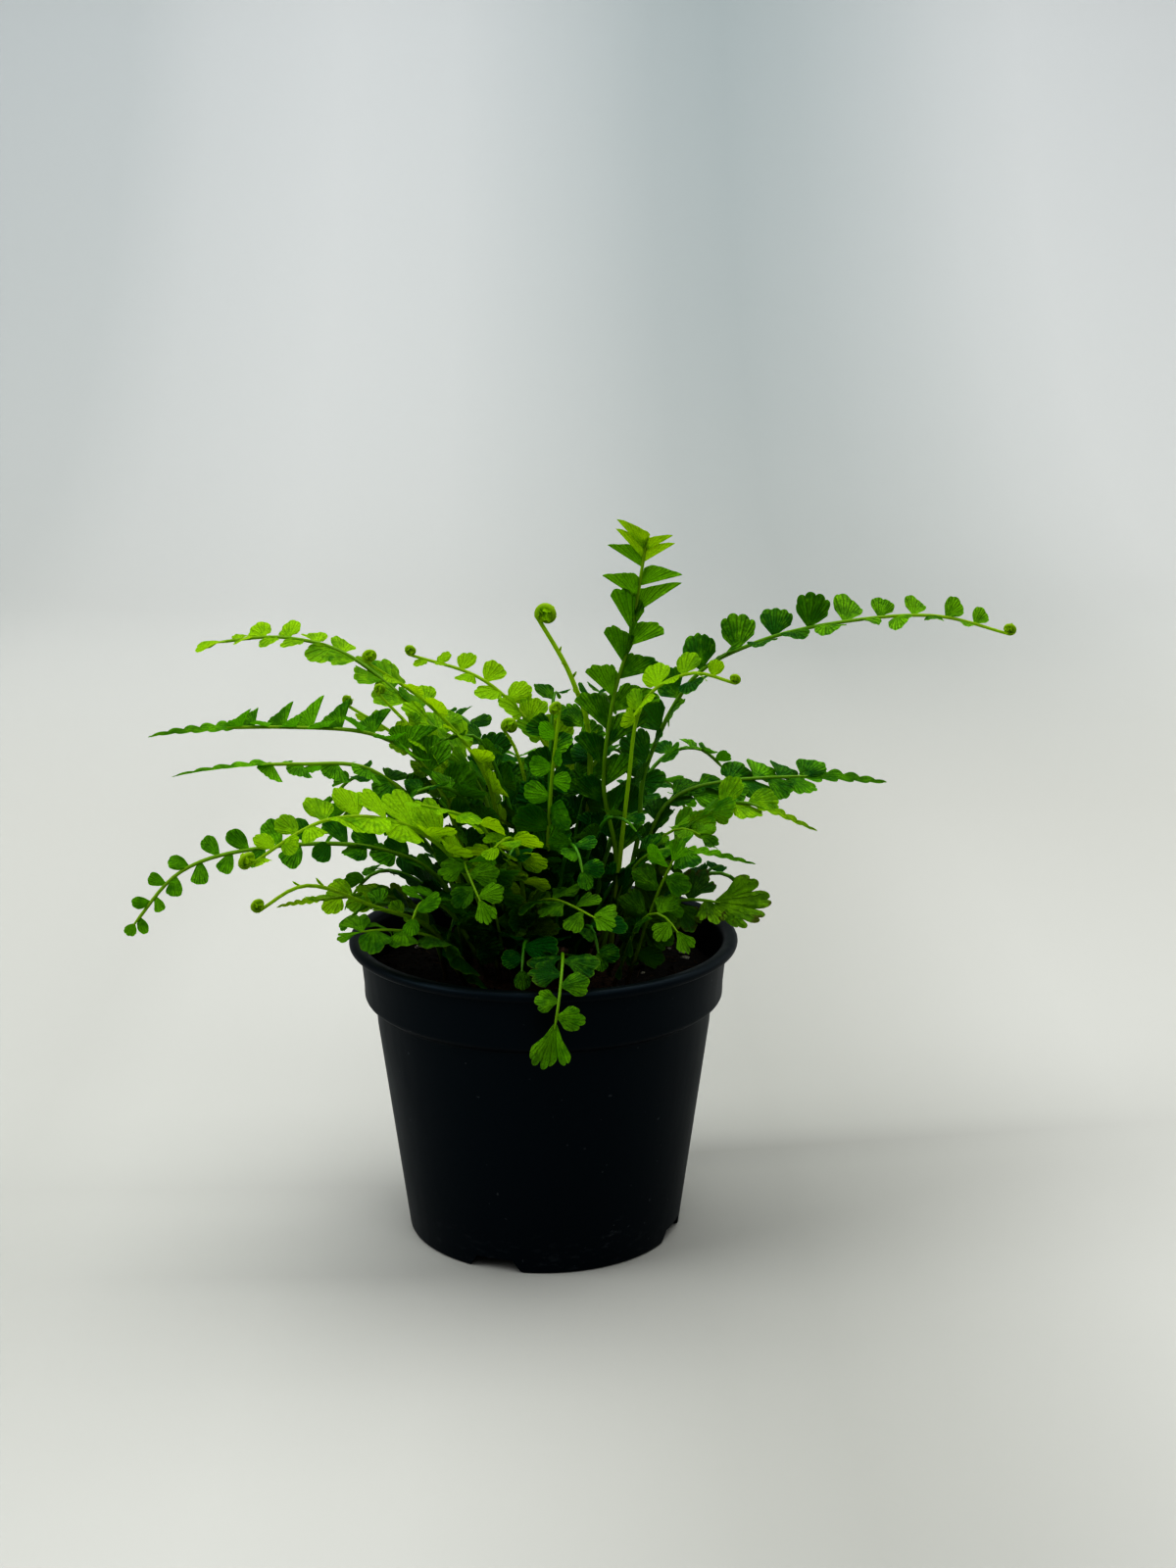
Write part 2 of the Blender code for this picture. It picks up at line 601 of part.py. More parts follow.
def build_fronds(collection, holders):
    """Every frond, in the order of the tables, each clear of what stands before it."""
    fronds = [*FRONDS, *(frond_of(arch) for arch in ARCHES)]
    routes = [Route((root_place(*frond.root), *frond.route)) for frond in fronds]
    stems = [stem_tree(frond, route) for frond, route in zip(fronds, routes)]
    leaves = [tree_in_mm(holder) for holder in holders]
    leaf_colors = {
        MATURE: ("leaf_mature", (0.035, 0.17, 0.02)),
        ROUND: ("leaf_round", (0.06, 0.24, 0.02)),
        LONG: ("leaf_long", (0.08, 0.27, 0.02)),
        YOUNG: ("leaf_young", (0.16, 0.34, 0.02)),
        LOBED: ("leaf_lobed", (0.11, 0.31, 0.03)),
        BUD: ("leaf_bud", (0.2, 0.38, 0.03)),
    }
    for index, (frond, route) in enumerate(zip(fronds, routes)):
        others = stems[:index] + stems[index + 1:] + leaves
        held = len(others)
        kept = roomy_leaflets(frond, route, others)
        leaves += others[held:]
        name, color = leaf_colors[frond.leafing]
        finish = material(f"{name}_{frond.name}", color, 0.5)
        add_object(frond.name, build_frond(frond, route, kept), collection, finish)


def main():
    for old in list(bpy.data.objects):
        bpy.data.objects.remove(old)
    scene = bpy.context.scene.collection
    fern = bpy.data.collections.new("potted_fern")
    cutters = bpy.data.collections.new("cutters")
    scene.children.link(fern)
    scene.children.link(cutters)
    holders = [build_pot(fern, cutters), build_soil(fern), build_crown(fern)]
    bpy.context.view_layer.update()
    build_fronds(fern, holders)


main()
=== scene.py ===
"""Potted fern: the finished look of a young fern in a black nursery pot, on a pale floor.

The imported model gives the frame. Every CAD node is stood for by a finer piece in the same place: the
pot with its rolled rim, the crumbly peat, the scaly crown, and each frond with its stalk and leaflets.
Lengths in the tables are in millimetres; meshes are in metres.
"""

from __future__ import annotations

import logging
import math
import random
from dataclasses import dataclass, field
from enum import Enum
from typing import Iterator, Sequence, Union

import bpy
from mathutils import Matrix, Vector, noise

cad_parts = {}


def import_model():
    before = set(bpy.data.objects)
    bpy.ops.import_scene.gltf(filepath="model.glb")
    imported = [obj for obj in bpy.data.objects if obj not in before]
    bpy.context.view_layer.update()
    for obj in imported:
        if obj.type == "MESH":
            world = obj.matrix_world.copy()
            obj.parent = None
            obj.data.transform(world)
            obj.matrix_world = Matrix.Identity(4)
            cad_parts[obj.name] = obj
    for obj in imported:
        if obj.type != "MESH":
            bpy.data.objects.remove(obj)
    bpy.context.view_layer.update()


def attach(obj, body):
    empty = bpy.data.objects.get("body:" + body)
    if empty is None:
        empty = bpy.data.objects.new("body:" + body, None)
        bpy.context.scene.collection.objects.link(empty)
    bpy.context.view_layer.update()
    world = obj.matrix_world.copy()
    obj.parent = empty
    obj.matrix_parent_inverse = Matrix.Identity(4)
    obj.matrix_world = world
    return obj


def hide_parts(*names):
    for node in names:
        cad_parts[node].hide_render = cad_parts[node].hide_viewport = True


LOG = logging.getLogger("potted_fern")
MM = 0.001
UP = Vector((0.0, 0.0, 1.0))
SMOOTH_UNDER = math.radians(38.0)
BODY = "root"
Color = tuple[float, float, float]
Point = tuple[float, float, float]
Tween = Union[float, Vector]


# ---------------------------------------------------------------- shader graph


class Wire:
    """A value in a shader graph; Python's operators on it add Math nodes."""

    def __init__(self, graph: "Graph", socket: bpy.types.NodeSocket) -> None:
        """Keeps the graph and the output socket that carries the value."""
        self.graph = graph
        self.socket = socket

    def _math(self, operation: str, first: "Value", second: "Value") -> "Wire":
        """Adds one Math node.

        Args:
            operation: the Math node's operation.
            first: its first value.
            second: its second value.

        Returns:
            The node's result.
        """
        return self.graph.node("ShaderNodeMath", {"operation": operation}, {0: first, 1: second})

    def __add__(self, other: "Value") -> "Wire":
        """This plus other."""
        return self._math("ADD", self, other)

    __radd__ = __add__

    def __sub__(self, other: "Value") -> "Wire":
        """This minus other."""
        return self._math("SUBTRACT", self, other)

    def __rsub__(self, other: "Value") -> "Wire":
        """Other minus this."""
        return self._math("SUBTRACT", other, self)

    def __mul__(self, other: "Value") -> "Wire":
        """This times other."""
        return self._math("MULTIPLY", self, other)

    __rmul__ = __mul__

    def __pow__(self, other: "Value") -> "Wire":
        """This to the power of other."""
        return self._math("POWER", self, other)

    def clamped(self) -> "Wire":
        """This, held between 0 and 1."""
        return self.graph.node("ShaderNodeClamp", {}, {"Value": self})


Value = Union[float, Wire]
Tint = Union[Color, Wire]


class Graph:
    """A material's node tree, built from one shader back to its patterns."""

    def __init__(self, name: str) -> None:
        """Starts an empty material.

        Args:
            name: the material's name.
        """
        self.material = bpy.data.materials.new(name)
        self.material.use_nodes = True
        self.tree = self.material.node_tree
        self.tree.nodes.clear()

    def node(self, kind: str, settings: dict, sockets: dict, output: Union[int, str] = 0) -> Wire:
        """Adds a node.

        Args:
            kind: the node's type.
            settings: its settings, set first; "stops" are a ramp's (place, colour) pairs.
            sockets: values or wires for its inputs, by name or number.
            output: which output to give back.

        Returns:
            The wire from that output.
        """
        made = self.tree.nodes.new(kind)
        for name, setting in settings.items():
            if name == "stops":
                self._set_stops(made.color_ramp, setting)
            else:
                setattr(made, name, setting)
        for key, value in sockets.items():
            if isinstance(value, Wire):
                self.tree.links.new(value.socket, made.inputs[key])
            else:
                made.inputs[key].default_value = value
        return Wire(self, made.outputs[output])

    @staticmethod
    def _set_stops(ramp: bpy.types.ColorRamp, stops: Sequence[tuple[float, Color]]) -> None:
        """Gives a colour ramp its stops.

        Args:
            ramp: the ramp to fill.
            stops: (place, colour) pairs in rising order.
        """
        ramp.elements.remove(ramp.elements[1])
        ramp.elements[0].position = stops[0][0]
        ramp.elements[0].color = (*stops[0][1], 1.0)
        for place, color in stops[1:]:
            ramp.elements.new(place).color = (*color, 1.0)

    def place(self) -> Wire:
        """The point on the piece, in metres from the part's origin."""
        return self.node("ShaderNodeTexCoord", {}, {}, "Object")

    def attribute(self, name: str) -> Wire:
        """A number that the mesh carries under this name."""
        return self.node("ShaderNodeAttribute", {"attribute_name": name}, {}, "Fac")

    def grain(self, where: Wire, scale: float, detail: float = 2.0, roughness: float = 0.5) -> Wire:
        """Soft random spots.

        Args:
            where: the coordinates to read.
            scale: spots per metre, roughly.
            detail: how many finer layers are added.
            roughness: how strong those are.

        Returns:
            A value around 0.5.
        """
        sockets = {"Vector": where, "Scale": scale, "Detail": detail, "Roughness": roughness}
        return self.node("ShaderNodeTexNoise", {}, sockets)

    def stretched(self, where: Wire, scale: Point) -> Wire:
        """Coordinates scaled differently along each axis."""
        return self.node("ShaderNodeMapping", {}, {"Vector": where, "Scale": scale})

    def blend(self, factor: Value, first: "Tint", second: "Tint", mode: str = "MIX") -> Wire:
        """Mixes two colours.

        Args:
            factor: the share of the second.
            first: a colour or a wire of one.
            second: the other.
            mode: the blend mode.

        Returns:
            The mixed colour.
        """
        under, over = (tint if isinstance(tint, Wire) else (*tint, 1.0) for tint in (first, second))
        settings = {"data_type": "RGBA", "blend_type": mode}
        return self.node("ShaderNodeMix", settings, {0: factor, 6: under, 7: over}, 2)

    def shaded(self, factor: float, color: "Tint", shade: Wire, swing: float) -> Wire:
        """Darkens and lightens a colour by a value around 0.5.

        Args:
            factor: how much of it shows.
            color: the colour.
            shade: the value.
            swing: how far below and above 1 the colour is multiplied.

        Returns:
            The uneven colour.
        """
        dark, light = (1.0 - swing,) * 3, (1.0 + swing,) * 3
        return self.blend(factor, color, self.blend(shade, dark, light), "MULTIPLY")

    def part(self, vector: Wire, axis: str) -> Wire:
        """One axis of a vector, "X", "Y" or "Z"."""
        return self.node("ShaderNodeSeparateXYZ", {}, {0: vector}, axis)

    def ramp(self, value: Wire, stops: Sequence[tuple[float, float]]) -> Wire:
        """Reshapes a value through (place, level) stops.

        Args:
            value: the value.
            stops: (place, level) pairs in rising order.

        Returns:
            The reshaped value.
        """
        colors = [(place, (level, level, level)) for place, level in stops]
        shaped = self.node("ShaderNodeValToRGB", {"stops": colors}, {0: value})
        return self.node("ShaderNodeSeparateColor", {}, {0: shaped})

    def bump(self, height: Wire, distance: float, strength: float = 1.0) -> Wire:
        """A normal pushed by a height, whose full range is distance metres."""
        return self.node("ShaderNodeBump", {}, {"Height": height, "Distance": distance, "Strength": strength})

    def principled(self, **sockets: object) -> Wire:
        """A Principled shader; each keyword names a socket, with _ for a space."""
        named = {name.replace("_", " "): value for name, value in sockets.items()}
        return self.node("ShaderNodeBsdfPrincipled", {}, named)

    def lit_through(self, share: Value, skin: Wire, color: Color, **sockets: object) -> Wire:
        """A skin that a share of the light comes through, in a colour; keywords as for principled."""
        glow = self.node("ShaderNodeBsdfTranslucent", {}, {"Color": (*color, 1.0), **sockets})
        return self.node("ShaderNodeMixShader", {}, {0: share, 1: skin, 2: glow})

    def finish(self, shader: Wire) -> bpy.types.Material:
        """Connects the shader to the output and gives the material back.

        Args:
            shader: the finished shader.

        Returns:
            The material.
        """
        output = self.tree.nodes.new("ShaderNodeOutputMaterial")
        self.tree.links.new(shader.socket, output.inputs["Surface"])
        return self.material


# ---------------------------------------------------------------- finishes


@dataclass(frozen=True)
class LeafFinish:
    """Leaflet skin: radiating veins darkened with painted shade, a paler margin, mottling, and light coming
    through.

    Scales are in spots per metre, and relief is in metres.
    """

    name: str
    deep: Color
    fresh: Color
    margin: Color
    through: Color
    least_through: float
    most_through: float
    roughness: float
    veined: float = 0.55
    brown: float = 0.0
    # Painted shade in the vein grooves: the colour the vein lines are darkened towards.
    vein_shade: Color = (0.0, 0.02, 0.0)
    dried: Color = (0.045, 0.022, 0.008)
    patch_scale: float = 260.0
    mottle_scale: float = 900.0
    cell_scale: float = 2600.0
    spot_scale: float = 420.0
    coarse_veins: float = 6.0
    fine_veins: float = 12.0
    relief: float = 0.0005
    gloss: float = 0.09

    def material(self) -> bpy.types.Material:
        """Builds the finish.

        Returns:
            The material.
        """
        graph = Graph(self.name)
        where = graph.place()
        blade = graph.node("ShaderNodeUVMap", {"uv_map": "blade"}, {})
        turn, reach = graph.part(blade, "X"), graph.part(blade, "Y")
        youth, tone = graph.attribute("youth"), graph.attribute("tone")
        patches = graph.grain(where, self.patch_scale, 2.0)
        mottle = graph.grain(where, self.mottle_scale, 2.0)
        cells = graph.grain(where, self.cell_scale, 1.0)

        # The youth attribute also carries the painted shade of leaflets low and deep in the clump.
        share = youth + (tone - 0.55) * 0.7 + (patches - 0.5) * 1.7 + (mottle - 0.5)
        color = graph.blend(share.clamped() ** 1.4, self.deep, self.fresh)
        wobble = (mottle - 0.5) * 0.10
        outer = graph.ramp(reach, ((0.3, 0.0), (0.6, 1.0)))
        coarse = self._lines(graph, turn + wobble, self.coarse_veins, 0.16)
        fine = self._lines(graph, turn + wobble * 0.5, self.fine_veins, 0.22) * outer
        veins = (coarse * 0.8 + fine * 0.6).clamped()
        # Painted shade: the vein lines, which the bump sinks as grooves, are darkened.
        color = graph.blend(veins * self.veined, color, graph.blend(0.75, color, self.vein_shade))
        color = graph.shaded(0.7, color, cells, 0.65)
        edge = graph.ramp(reach, ((0.93, 0.0), (1.0, 1.0)))
        color = graph.blend(edge * 0.3, color, self.margin)
        if self.brown:
            color = self._browned(graph, color, where, reach)

        height = (1.0 - veins) * self.veined + mottle * 0.6 + cells * 0.3
        normal = graph.bump(height, self.relief)
        skin = graph.principled(
            Base_Color=color, Roughness=(patches - 0.5) * 0.25 + self.roughness, Normal=normal,
            Specular_IOR_Level=self.gloss,
        )
        clear = (youth * (self.most_through - self.least_through) + self.least_through).clamped()
        return graph.finish(graph.lit_through(clear, skin, self.through, Normal=normal))

    def _browned(self, graph: Graph, color: Wire, where: Wire, reach: Wire) -> Wire:
        """Adds dried brown spots, thickest along the margin.

        Args:
            graph: the graph to add to.
            color: the leaflet's colour.
            where: the point on the piece.
            reach: how far out on the blade it is, from 0 to 1.

        Returns:
            The spotted colour.
        """
        rim = (reach - 0.8).clamped() * 0.9
        spots = graph.ramp(graph.grain(where, self.spot_scale, 3.0, 0.65) + rim, ((0.64, 0.0), (0.71, 1.0)))
        return graph.blend(spots * self.brown, color, self.dried)

    @staticmethod
    def _lines(graph: Graph, across: Wire, count: float, width: float) -> Wire:
        """Even lines over a 0 to 1 value.

        Args:
            graph: the graph to add to.
            across: the value that the lines cross.
            count: how many lines.
            width: a line's share of its spacing.

        Returns:
            1 on a line, 0 between lines.
        """
        saw = graph.node("ShaderNodeMath", {"operation": "PINGPONG"}, {0: across * count, 1: 0.5})
        return graph.ramp(saw, ((0.0, 1.0), (width, 0.0)))


@dataclass(frozen=True)
class StalkFinish:
    """Stipe and rachis: a smooth, slightly see-through green skin, brown near the soil."""

    name: str
    low: Color
    green: Color
    lime: Color
    through: Color
    least_through: float = 0.2
    more_through: float = 0.35
    roughness: float = 0.36
    streak_scale: float = 1500.0
    relief: float = 0.00008
    gloss: float = 0.25

    def material(self) -> bpy.types.Material:
        """Builds the finish.

        Returns:
            The material.
        """
        graph = Graph(self.name)
        streaks = graph.grain(graph.stretched(graph.place(), (1.0, 1.0, 0.25)), self.streak_scale, 2.0)
        foot = graph.attribute("foot") + (streaks - 0.5) * 0.3
        risen = graph.ramp(foot, ((0.35, 1.0), (0.8, 0.0)))
        youth = graph.attribute("youth")
        color = graph.blend(risen, self.low, graph.blend(youth, self.green, self.lime))
        color = graph.shaded(0.45, color, streaks, 0.45)
        skin = graph.principled(
            Base_Color=color, Roughness=(streaks - 0.5) * 0.3 + self.roughness,
            Normal=graph.bump(streaks, self.relief, 0.6), Specular_IOR_Level=self.gloss,
        )
        clear = risen * (youth * self.more_through + self.least_through)
        return graph.finish(graph.lit_through(clear, skin, self.through))


@dataclass(frozen=True)
class PotFinish:
    """Black moulded plastic: satin with a fine grain, flow streaks, scuffs near the foot, and dust.

    Scales are in spots per metre; the scuffed place, its spread and the foot's height are in metres.
    """

    name: str
    black: Color
    scuff: Color
    scuffed: Point
    spread: float
    foot: float
    roughness: float
    cloud_scale: float = 45.0
    grain_scale: float = 2400.0
    streak_scale: float = 420.0
    scratch_scale: float = 500.0
    dust_scale: float = 900.0
    relief: float = 0.00005
    gloss: float = 0.17
    sheen: Color = (0.50, 0.82, 1.0)

    def material(self) -> bpy.types.Material:
        """Builds the finish.

        Returns:
            The material.
        """
        graph = Graph(self.name)
        where = graph.place()
        clouds = graph.grain(where, self.cloud_scale, 3.0)
        grain = graph.grain(where, self.grain_scale, 2.0)
        streaks = graph.grain(graph.stretched(where, (1.0, 1.0, 0.08)), self.streak_scale, 2.0)
        scratches = graph.grain(graph.stretched(where, (0.6, 0.6, 1.6)), self.scratch_scale, 4.0, 0.7)
        ends = {0: where, 1: self.scuffed}
        away = graph.node("ShaderNodeVectorMath", {"operation": "DISTANCE"}, ends, "Value")
        near = graph.ramp(away * (1.0 / self.spread), ((0.2, 1.0), (1.0, 0.0)))
        low = graph.ramp(graph.part(where, "Z") * (1.0 / self.foot), ((0.2, 0.35), (1.0, 0.0)))
        worn = graph.ramp(scratches, ((0.56, 0.0), (0.66, 1.0))) * (near + low).clamped()
        dust = graph.ramp(graph.grain(where, self.dust_scale, 0.0), ((0.84, 0.0), (0.87, 1.0)))

        color = graph.blend(worn * 0.12, self.black, self.scuff)
        color = graph.blend(dust * 0.10, color, self.scuff)
        roughness = (clouds - 0.5) * 0.16 + (streaks - 0.5) * 0.10 + worn * 0.2 + self.roughness
        normal = graph.bump(grain * 0.7 + streaks * 0.3, self.relief, 0.7)
        return graph.finish(graph.principled(
            Base_Color=color, Roughness=roughness, Normal=normal,
            Specular_IOR_Level=self.gloss, Specular_Tint=(*self.sheen, 1.0),
        ))


@dataclass(frozen=True)
class EarthFinish:
    """Peat, fibres, scales and grains: a rough, patchy, crumbly skin, with its scale in lumps per metre."""

    name: str
    dark: Color
    light: Color
    scale: float
    relief: float
    roughness: float = 0.95
    gloss: float = 0.25

    def material(self) -> bpy.types.Material:
        """Builds the finish.

        Returns:
            The material.
        """
        graph = Graph(self.name)
        where = graph.place()
        lumps = graph.grain(where, self.scale, 4.0, 0.65)
        flecks = graph.grain(where, self.scale * 4.0, 2.0, 0.6)
        crumbs = lumps * 0.6 + flecks * 0.4
        color = graph.blend(graph.ramp(crumbs, ((0.40, 0.0), (0.66, 1.0))), self.dark, self.light)
        return graph.finish(graph.principled(
            Base_Color=color, Roughness=(flecks - 0.5) * 0.2 + self.roughness,
            Normal=graph.bump(crumbs, self.relief, 0.9), Specular_IOR_Level=self.gloss,
        ))


@dataclass(frozen=True)
class ShadowStreak:
    """A painted shadow: a soft grey streak that runs sideways over the paper, from start to end, and fades
    out.

    Lengths are in metres: place is how far back it lies at the middle, and half is half its width.
    """

    start: float
    end: float
    place: float
    slope: float
    half: float
    depth: float

    def share(self, graph: Graph, x: Wire, y: Wire) -> Wire:
        """How dark the streak is at a point.

        Args:
            graph: the graph to add to.
            x: the point's place along the streak.
            y: its place across it.

        Returns:
            0 outside the streak, up to its depth in the middle.
        """
        off = graph.node("ShaderNodeMath", {"operation": "ABSOLUTE"}, {0: y - x * self.slope - self.place})
        near = (1.0 - off * (1.0 / self.half)).clamped()
        along = ((x - self.start) * (1.0 / (self.end - self.start))).clamped()
        faded = graph.ramp(along, ((0.0, 0.0), (0.12, 1.0), (1.0, 0.0)))
        return near**1.4 * faded * self.depth


@dataclass(frozen=True)
class StageFinish:
    """Pale paper, with painted light: paler and cooler to the back, broad dim and bright stripes, and grey
    shadow streaks.

    The stops of painted light and shade are (place, brightness) from 0 at the left to 1 at the right; a metre
    of the floor spans floor_bands of that, and a metre of the wall wall_bands. The floor's give way to the
    wall's over turning, in metres behind the pot, and the wall's paler, cooler colour, which is painted
    light, comes in from wall_start on, at wall_rate a metre.
    """

    name: str
    # Dim and bright levels of the painted light, on the floor and on the paler, cooler wall.
    floor: tuple[Color, Color]
    wall: tuple[Color, Color]
    # Grey streaks of painted shadow on the floor.
    streaks: tuple[ShadowStreak, ...]
    floor_bands: float = 3.0
    wall_bands: float = 1.15
    # Painted light and shade: how bright the paper is across it, dimmest just right of the middle.
    painted_light_bands: tuple[tuple[float, float], ...] = (
        (0.1, 0.6), (0.18, 0.85), (0.31, 1.0), (0.42, 0.88), (0.54, 0.45), (0.61, 0.15), (0.68, 0.03),
        (0.75, 0.2), (0.83, 0.5), (0.9, 0.8), (0.97, 1.0),
    )
    turning: tuple[float, float] = (0.1, 0.75)
    wall_start: float = 0.4
    wall_rate: float = 0.641
    cloud_scale: float = 3.0
    cloudiness: float = 0.06
    cloud: Color = (0.5, 0.5, 0.5)
    # The colour that the painted shadow streaks darken towards.
    black: Color = (0.0, 0.0, 0.0)
    roughness: float = 0.85
    gloss: float = 0.2

    def material(self) -> bpy.types.Material:
        """Builds the finish.

        Returns:
            The material.
        """
        graph = Graph(self.name)
        where = graph.place()
        x, y, z = (graph.part(where, axis) for axis in "XYZ")
        # Painted light: broad dim and bright stripes across the floor and the wall.
        near = graph.ramp(x * self.floor_bands + 0.5, self.painted_light_bands)
        far = graph.ramp(x * self.wall_bands + 0.5, self.painted_light_bands)
        painted_light = near + (far - near) * graph.ramp(y, tuple(zip(self.turning, (0.0, 1.0))))
        # Painted light: the paper turns paler and cooler towards the back.
        back = ((y + z - self.wall_start) * self.wall_rate).clamped()
        tint = graph.blend(back, graph.blend(painted_light, *self.floor), graph.blend(painted_light, *self.wall))
        tint = graph.blend(graph.grain(where, self.cloud_scale, 2.0) * self.cloudiness, tint, self.cloud)
        # Painted shadows: grey streaks over the floor beside the pot.
        for streak in self.streaks:
            tint = graph.blend(streak.share(graph, x, y), tint, self.black)
        return graph.finish(graph.principled(
            Base_Color=tint, Roughness=self.roughness, Specular_IOR_Level=self.gloss
        ))


# ---------------------------------------------------------------- hand tools


def select(*pieces: bpy.types.Object) -> None:
    """Selects only these pieces, with the first one active.

    Args:
        pieces: the objects to select; none of them leaves nothing selected.
    """
    bpy.ops.object.select_all(action="DESELECT")
    for piece in pieces:
        piece.select_set(True)
    if pieces:
        bpy.context.view_layer.objects.active = pieces[0]


def join(pieces: Sequence[bpy.types.Object], name: str) -> bpy.types.Object:
    """Joins pieces into the first one, with all places in the mesh.

    Args:
        pieces: the mesh objects to join.
        name: the joined piece's name.

    Returns:
        The joined piece.
    """
    select(*pieces)
    bpy.ops.object.transform_apply(location=True, rotation=True, scale=True)
    if len(pieces) > 1:
        bpy.ops.object.join()
    made = bpy.context.view_layer.objects.active
    made.name = made.data.name = name
    return made


def copied(master: bpy.types.Object, placed: Matrix) -> bpy.types.Object:
    """A copy with its own mesh, put at a place.

    Args:
        master: the piece that was modelled once.
        placed: where the copy goes.

    Returns:
        The copy.
    """
    copy = master.copy()
    copy.data = master.data.copy()
    copy.hide_render = copy.hide_viewport = False
    bpy.context.scene.collection.objects.link(copy)
    copy.matrix_world = placed
    return copy


def discard(*pieces: bpy.types.Object) -> None:
    """Removes masters and cutters that have done their work."""
    for piece in pieces:
        bpy.data.objects.remove(piece)


def painted(piece: bpy.types.Object, finish: bpy.types.Material) -> bpy.types.Object:
    """Gives a piece one finish all over.

    Args:
        piece: the piece.
        finish: its material.

    Returns:
        The piece.
    """
    piece.data.materials.clear()
    piece.data.materials.append(finish)
    return piece


def mark(piece: bpy.types.Object, **values: float) -> None:
    """Writes numbers on all points of a piece, for its finish to read.

    Args:
        piece: the piece.
        values: each number, by the name of its attribute.
    """
    for name, value in values.items():
        layer = piece.data.attributes.new(name, "FLOAT", "POINT")
        layer.data.foreach_set("value", [value] * len(layer.data))


def stand_in(piece: bpy.types.Object, slot: str, *nodes: str) -> None:
    """Makes a piece ride on the body and stand for CAD nodes, and logs its faces and slot.

    Args:
        piece: the finished piece.
        slot: the record's material slot, which is only logged.
        nodes: the CAD nodes that it stands for, if any.
    """
    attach(piece, BODY)
    if nodes:
        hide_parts(*nodes)
    LOG.info("%s: %d faces, slot %s", piece.name, len(piece.data.polygons), slot)


def turned(name: str, profile: Sequence[tuple[float, float]], steps: int) -> bpy.types.Object:
    """A shape turned round Z: one point is extruded along the profile, which is then spun.

    Args:
        name: the piece's name.
        profile: (radius, height) points in millimetres, which start and end on the axis.
        steps: how many sides the turn has.

    Returns:
        The closed piece, with its faces pointing outwards.
    """
    select()
    bpy.ops.mesh.primitive_plane_add(size=MM, location=(0.0, 0.0, 0.0))
    piece = bpy.context.object
    bpy.ops.object.mode_set(mode="EDIT")
    bpy.ops.mesh.select_mode(type="VERT")
    bpy.ops.mesh.select_all(action="SELECT")
    bpy.ops.mesh.merge(type="CENTER")
    bpy.ops.transform.translate(value=(profile[0][0] * MM, 0.0, profile[0][1] * MM))
    for (radius, height), (next_radius, next_height) in zip(profile, profile[1:]):
        step = ((next_radius - radius) * MM, 0.0, (next_height - height) * MM)
        bpy.ops.mesh.extrude_region_move(TRANSFORM_OT_translate={"value": step})
    bpy.ops.mesh.select_all(action="SELECT")
    bpy.ops.mesh.spin(steps=steps, angle=math.tau, center=(0.0, 0.0, 0.0), axis=(0.0, 0.0, 1.0))
    bpy.ops.mesh.select_all(action="SELECT")
    bpy.ops.mesh.remove_doubles(threshold=0.02 * MM)
    bpy.ops.mesh.normals_make_consistent(inside=False)
    bpy.ops.object.mode_set(mode="OBJECT")
    bpy.ops.object.shade_smooth_by_angle(angle=SMOOTH_UNDER)
    piece.name = piece.data.name = name
    return piece


def arc(
    centre: tuple[float, float], radius: float, start: float, stop: float, count: int
) -> Iterator[tuple[float, float]]:
    """Points on a round stretch of a profile.

    Args:
        centre: the arc's (radius, height) centre.
        radius: the arc's own radius.
        start: the angle it starts at, in degrees.
        stop: the angle it ends at.
        count: how many steps it takes.

    Yields:
        (radius, height) points.
    """
    for step in range(count + 1):
        angle = math.radians(start + (stop - start) * step / count)
        yield centre[0] + radius * math.cos(angle), centre[1] + radius * math.sin(angle)


def tube(name: str, line: Sequence[Vector], radii: Sequence[float], sides: int) -> bpy.types.Object:
    """A round, closed tube along a line.

    Args:
        name: the piece's name.
        line: the points it follows, in millimetres.
        radii: its radius at each point, in millimetres.
        sides: extra sides round it, as a curve's bevel resolution.

    Returns:
        The tube as a mesh.
    """
    select()
    bpy.ops.curve.primitive_nurbs_path_add(location=(0.0, 0.0, 0.0))
    path = bpy.context.object
    spline = path.data.splines[0]
    spline.type = "POLY"
    spline.points.add(len(line) - len(spline.points))
    for point, place, radius in zip(spline.points, line, radii):
        point.co = (*(place * MM), 1.0)
        point.radius = radius
    path.data.bevel_depth = MM
    path.data.bevel_resolution = sides
    path.data.use_fill_caps = True
    path.data.resolution_u = 1
    bpy.ops.object.convert(target="MESH")
    made = bpy.context.object
    bpy.ops.object.shade_smooth()
    made.name = made.data.name = name
    return made


def held(value: float, least: float = 0.0, most: float = 1.0) -> float:
    """A value, held between the least and the most it may be."""
    return min(max(value, least), most)


def through(a: Tween, b: Tween, c: Tween, d: Tween, t: float) -> Tween:
    """A smooth curve from b to c, whose slopes follow a and d.

    Args:
        a: the value or place before b.
        b: where the curve starts.
        c: where it ends.
        d: the value or place after c.
        t: how far along it, from 0 to 1.

    Returns:
        The value or place there.
    """
    bend = (2 * a - 5 * b + 4 * c - d) * t**2 + (3 * (b - c) + d - a) * t**3
    return 0.5 * (2 * b + (c - a) * t + bend)


def interpolate(values: Sequence[float], part: float) -> float:
    """A smooth curve through even values, read at a part from 0 to 1.

    Args:
        values: the values, evenly spaced.
        part: where to read, from 0 to 1.

    Returns:
        The value there.
    """
    place = held(part) * (len(values) - 1)
    index = min(int(place), len(values) - 2)
    t = place - index
    b, c = values[index], values[index + 1]
    a = values[index - 1] if index > 0 else 2 * b - c
    d = values[index + 2] if index + 2 < len(values) else 2 * c - b
    return through(a, b, c, d, t)


# ---------------------------------------------------------------- leaflets


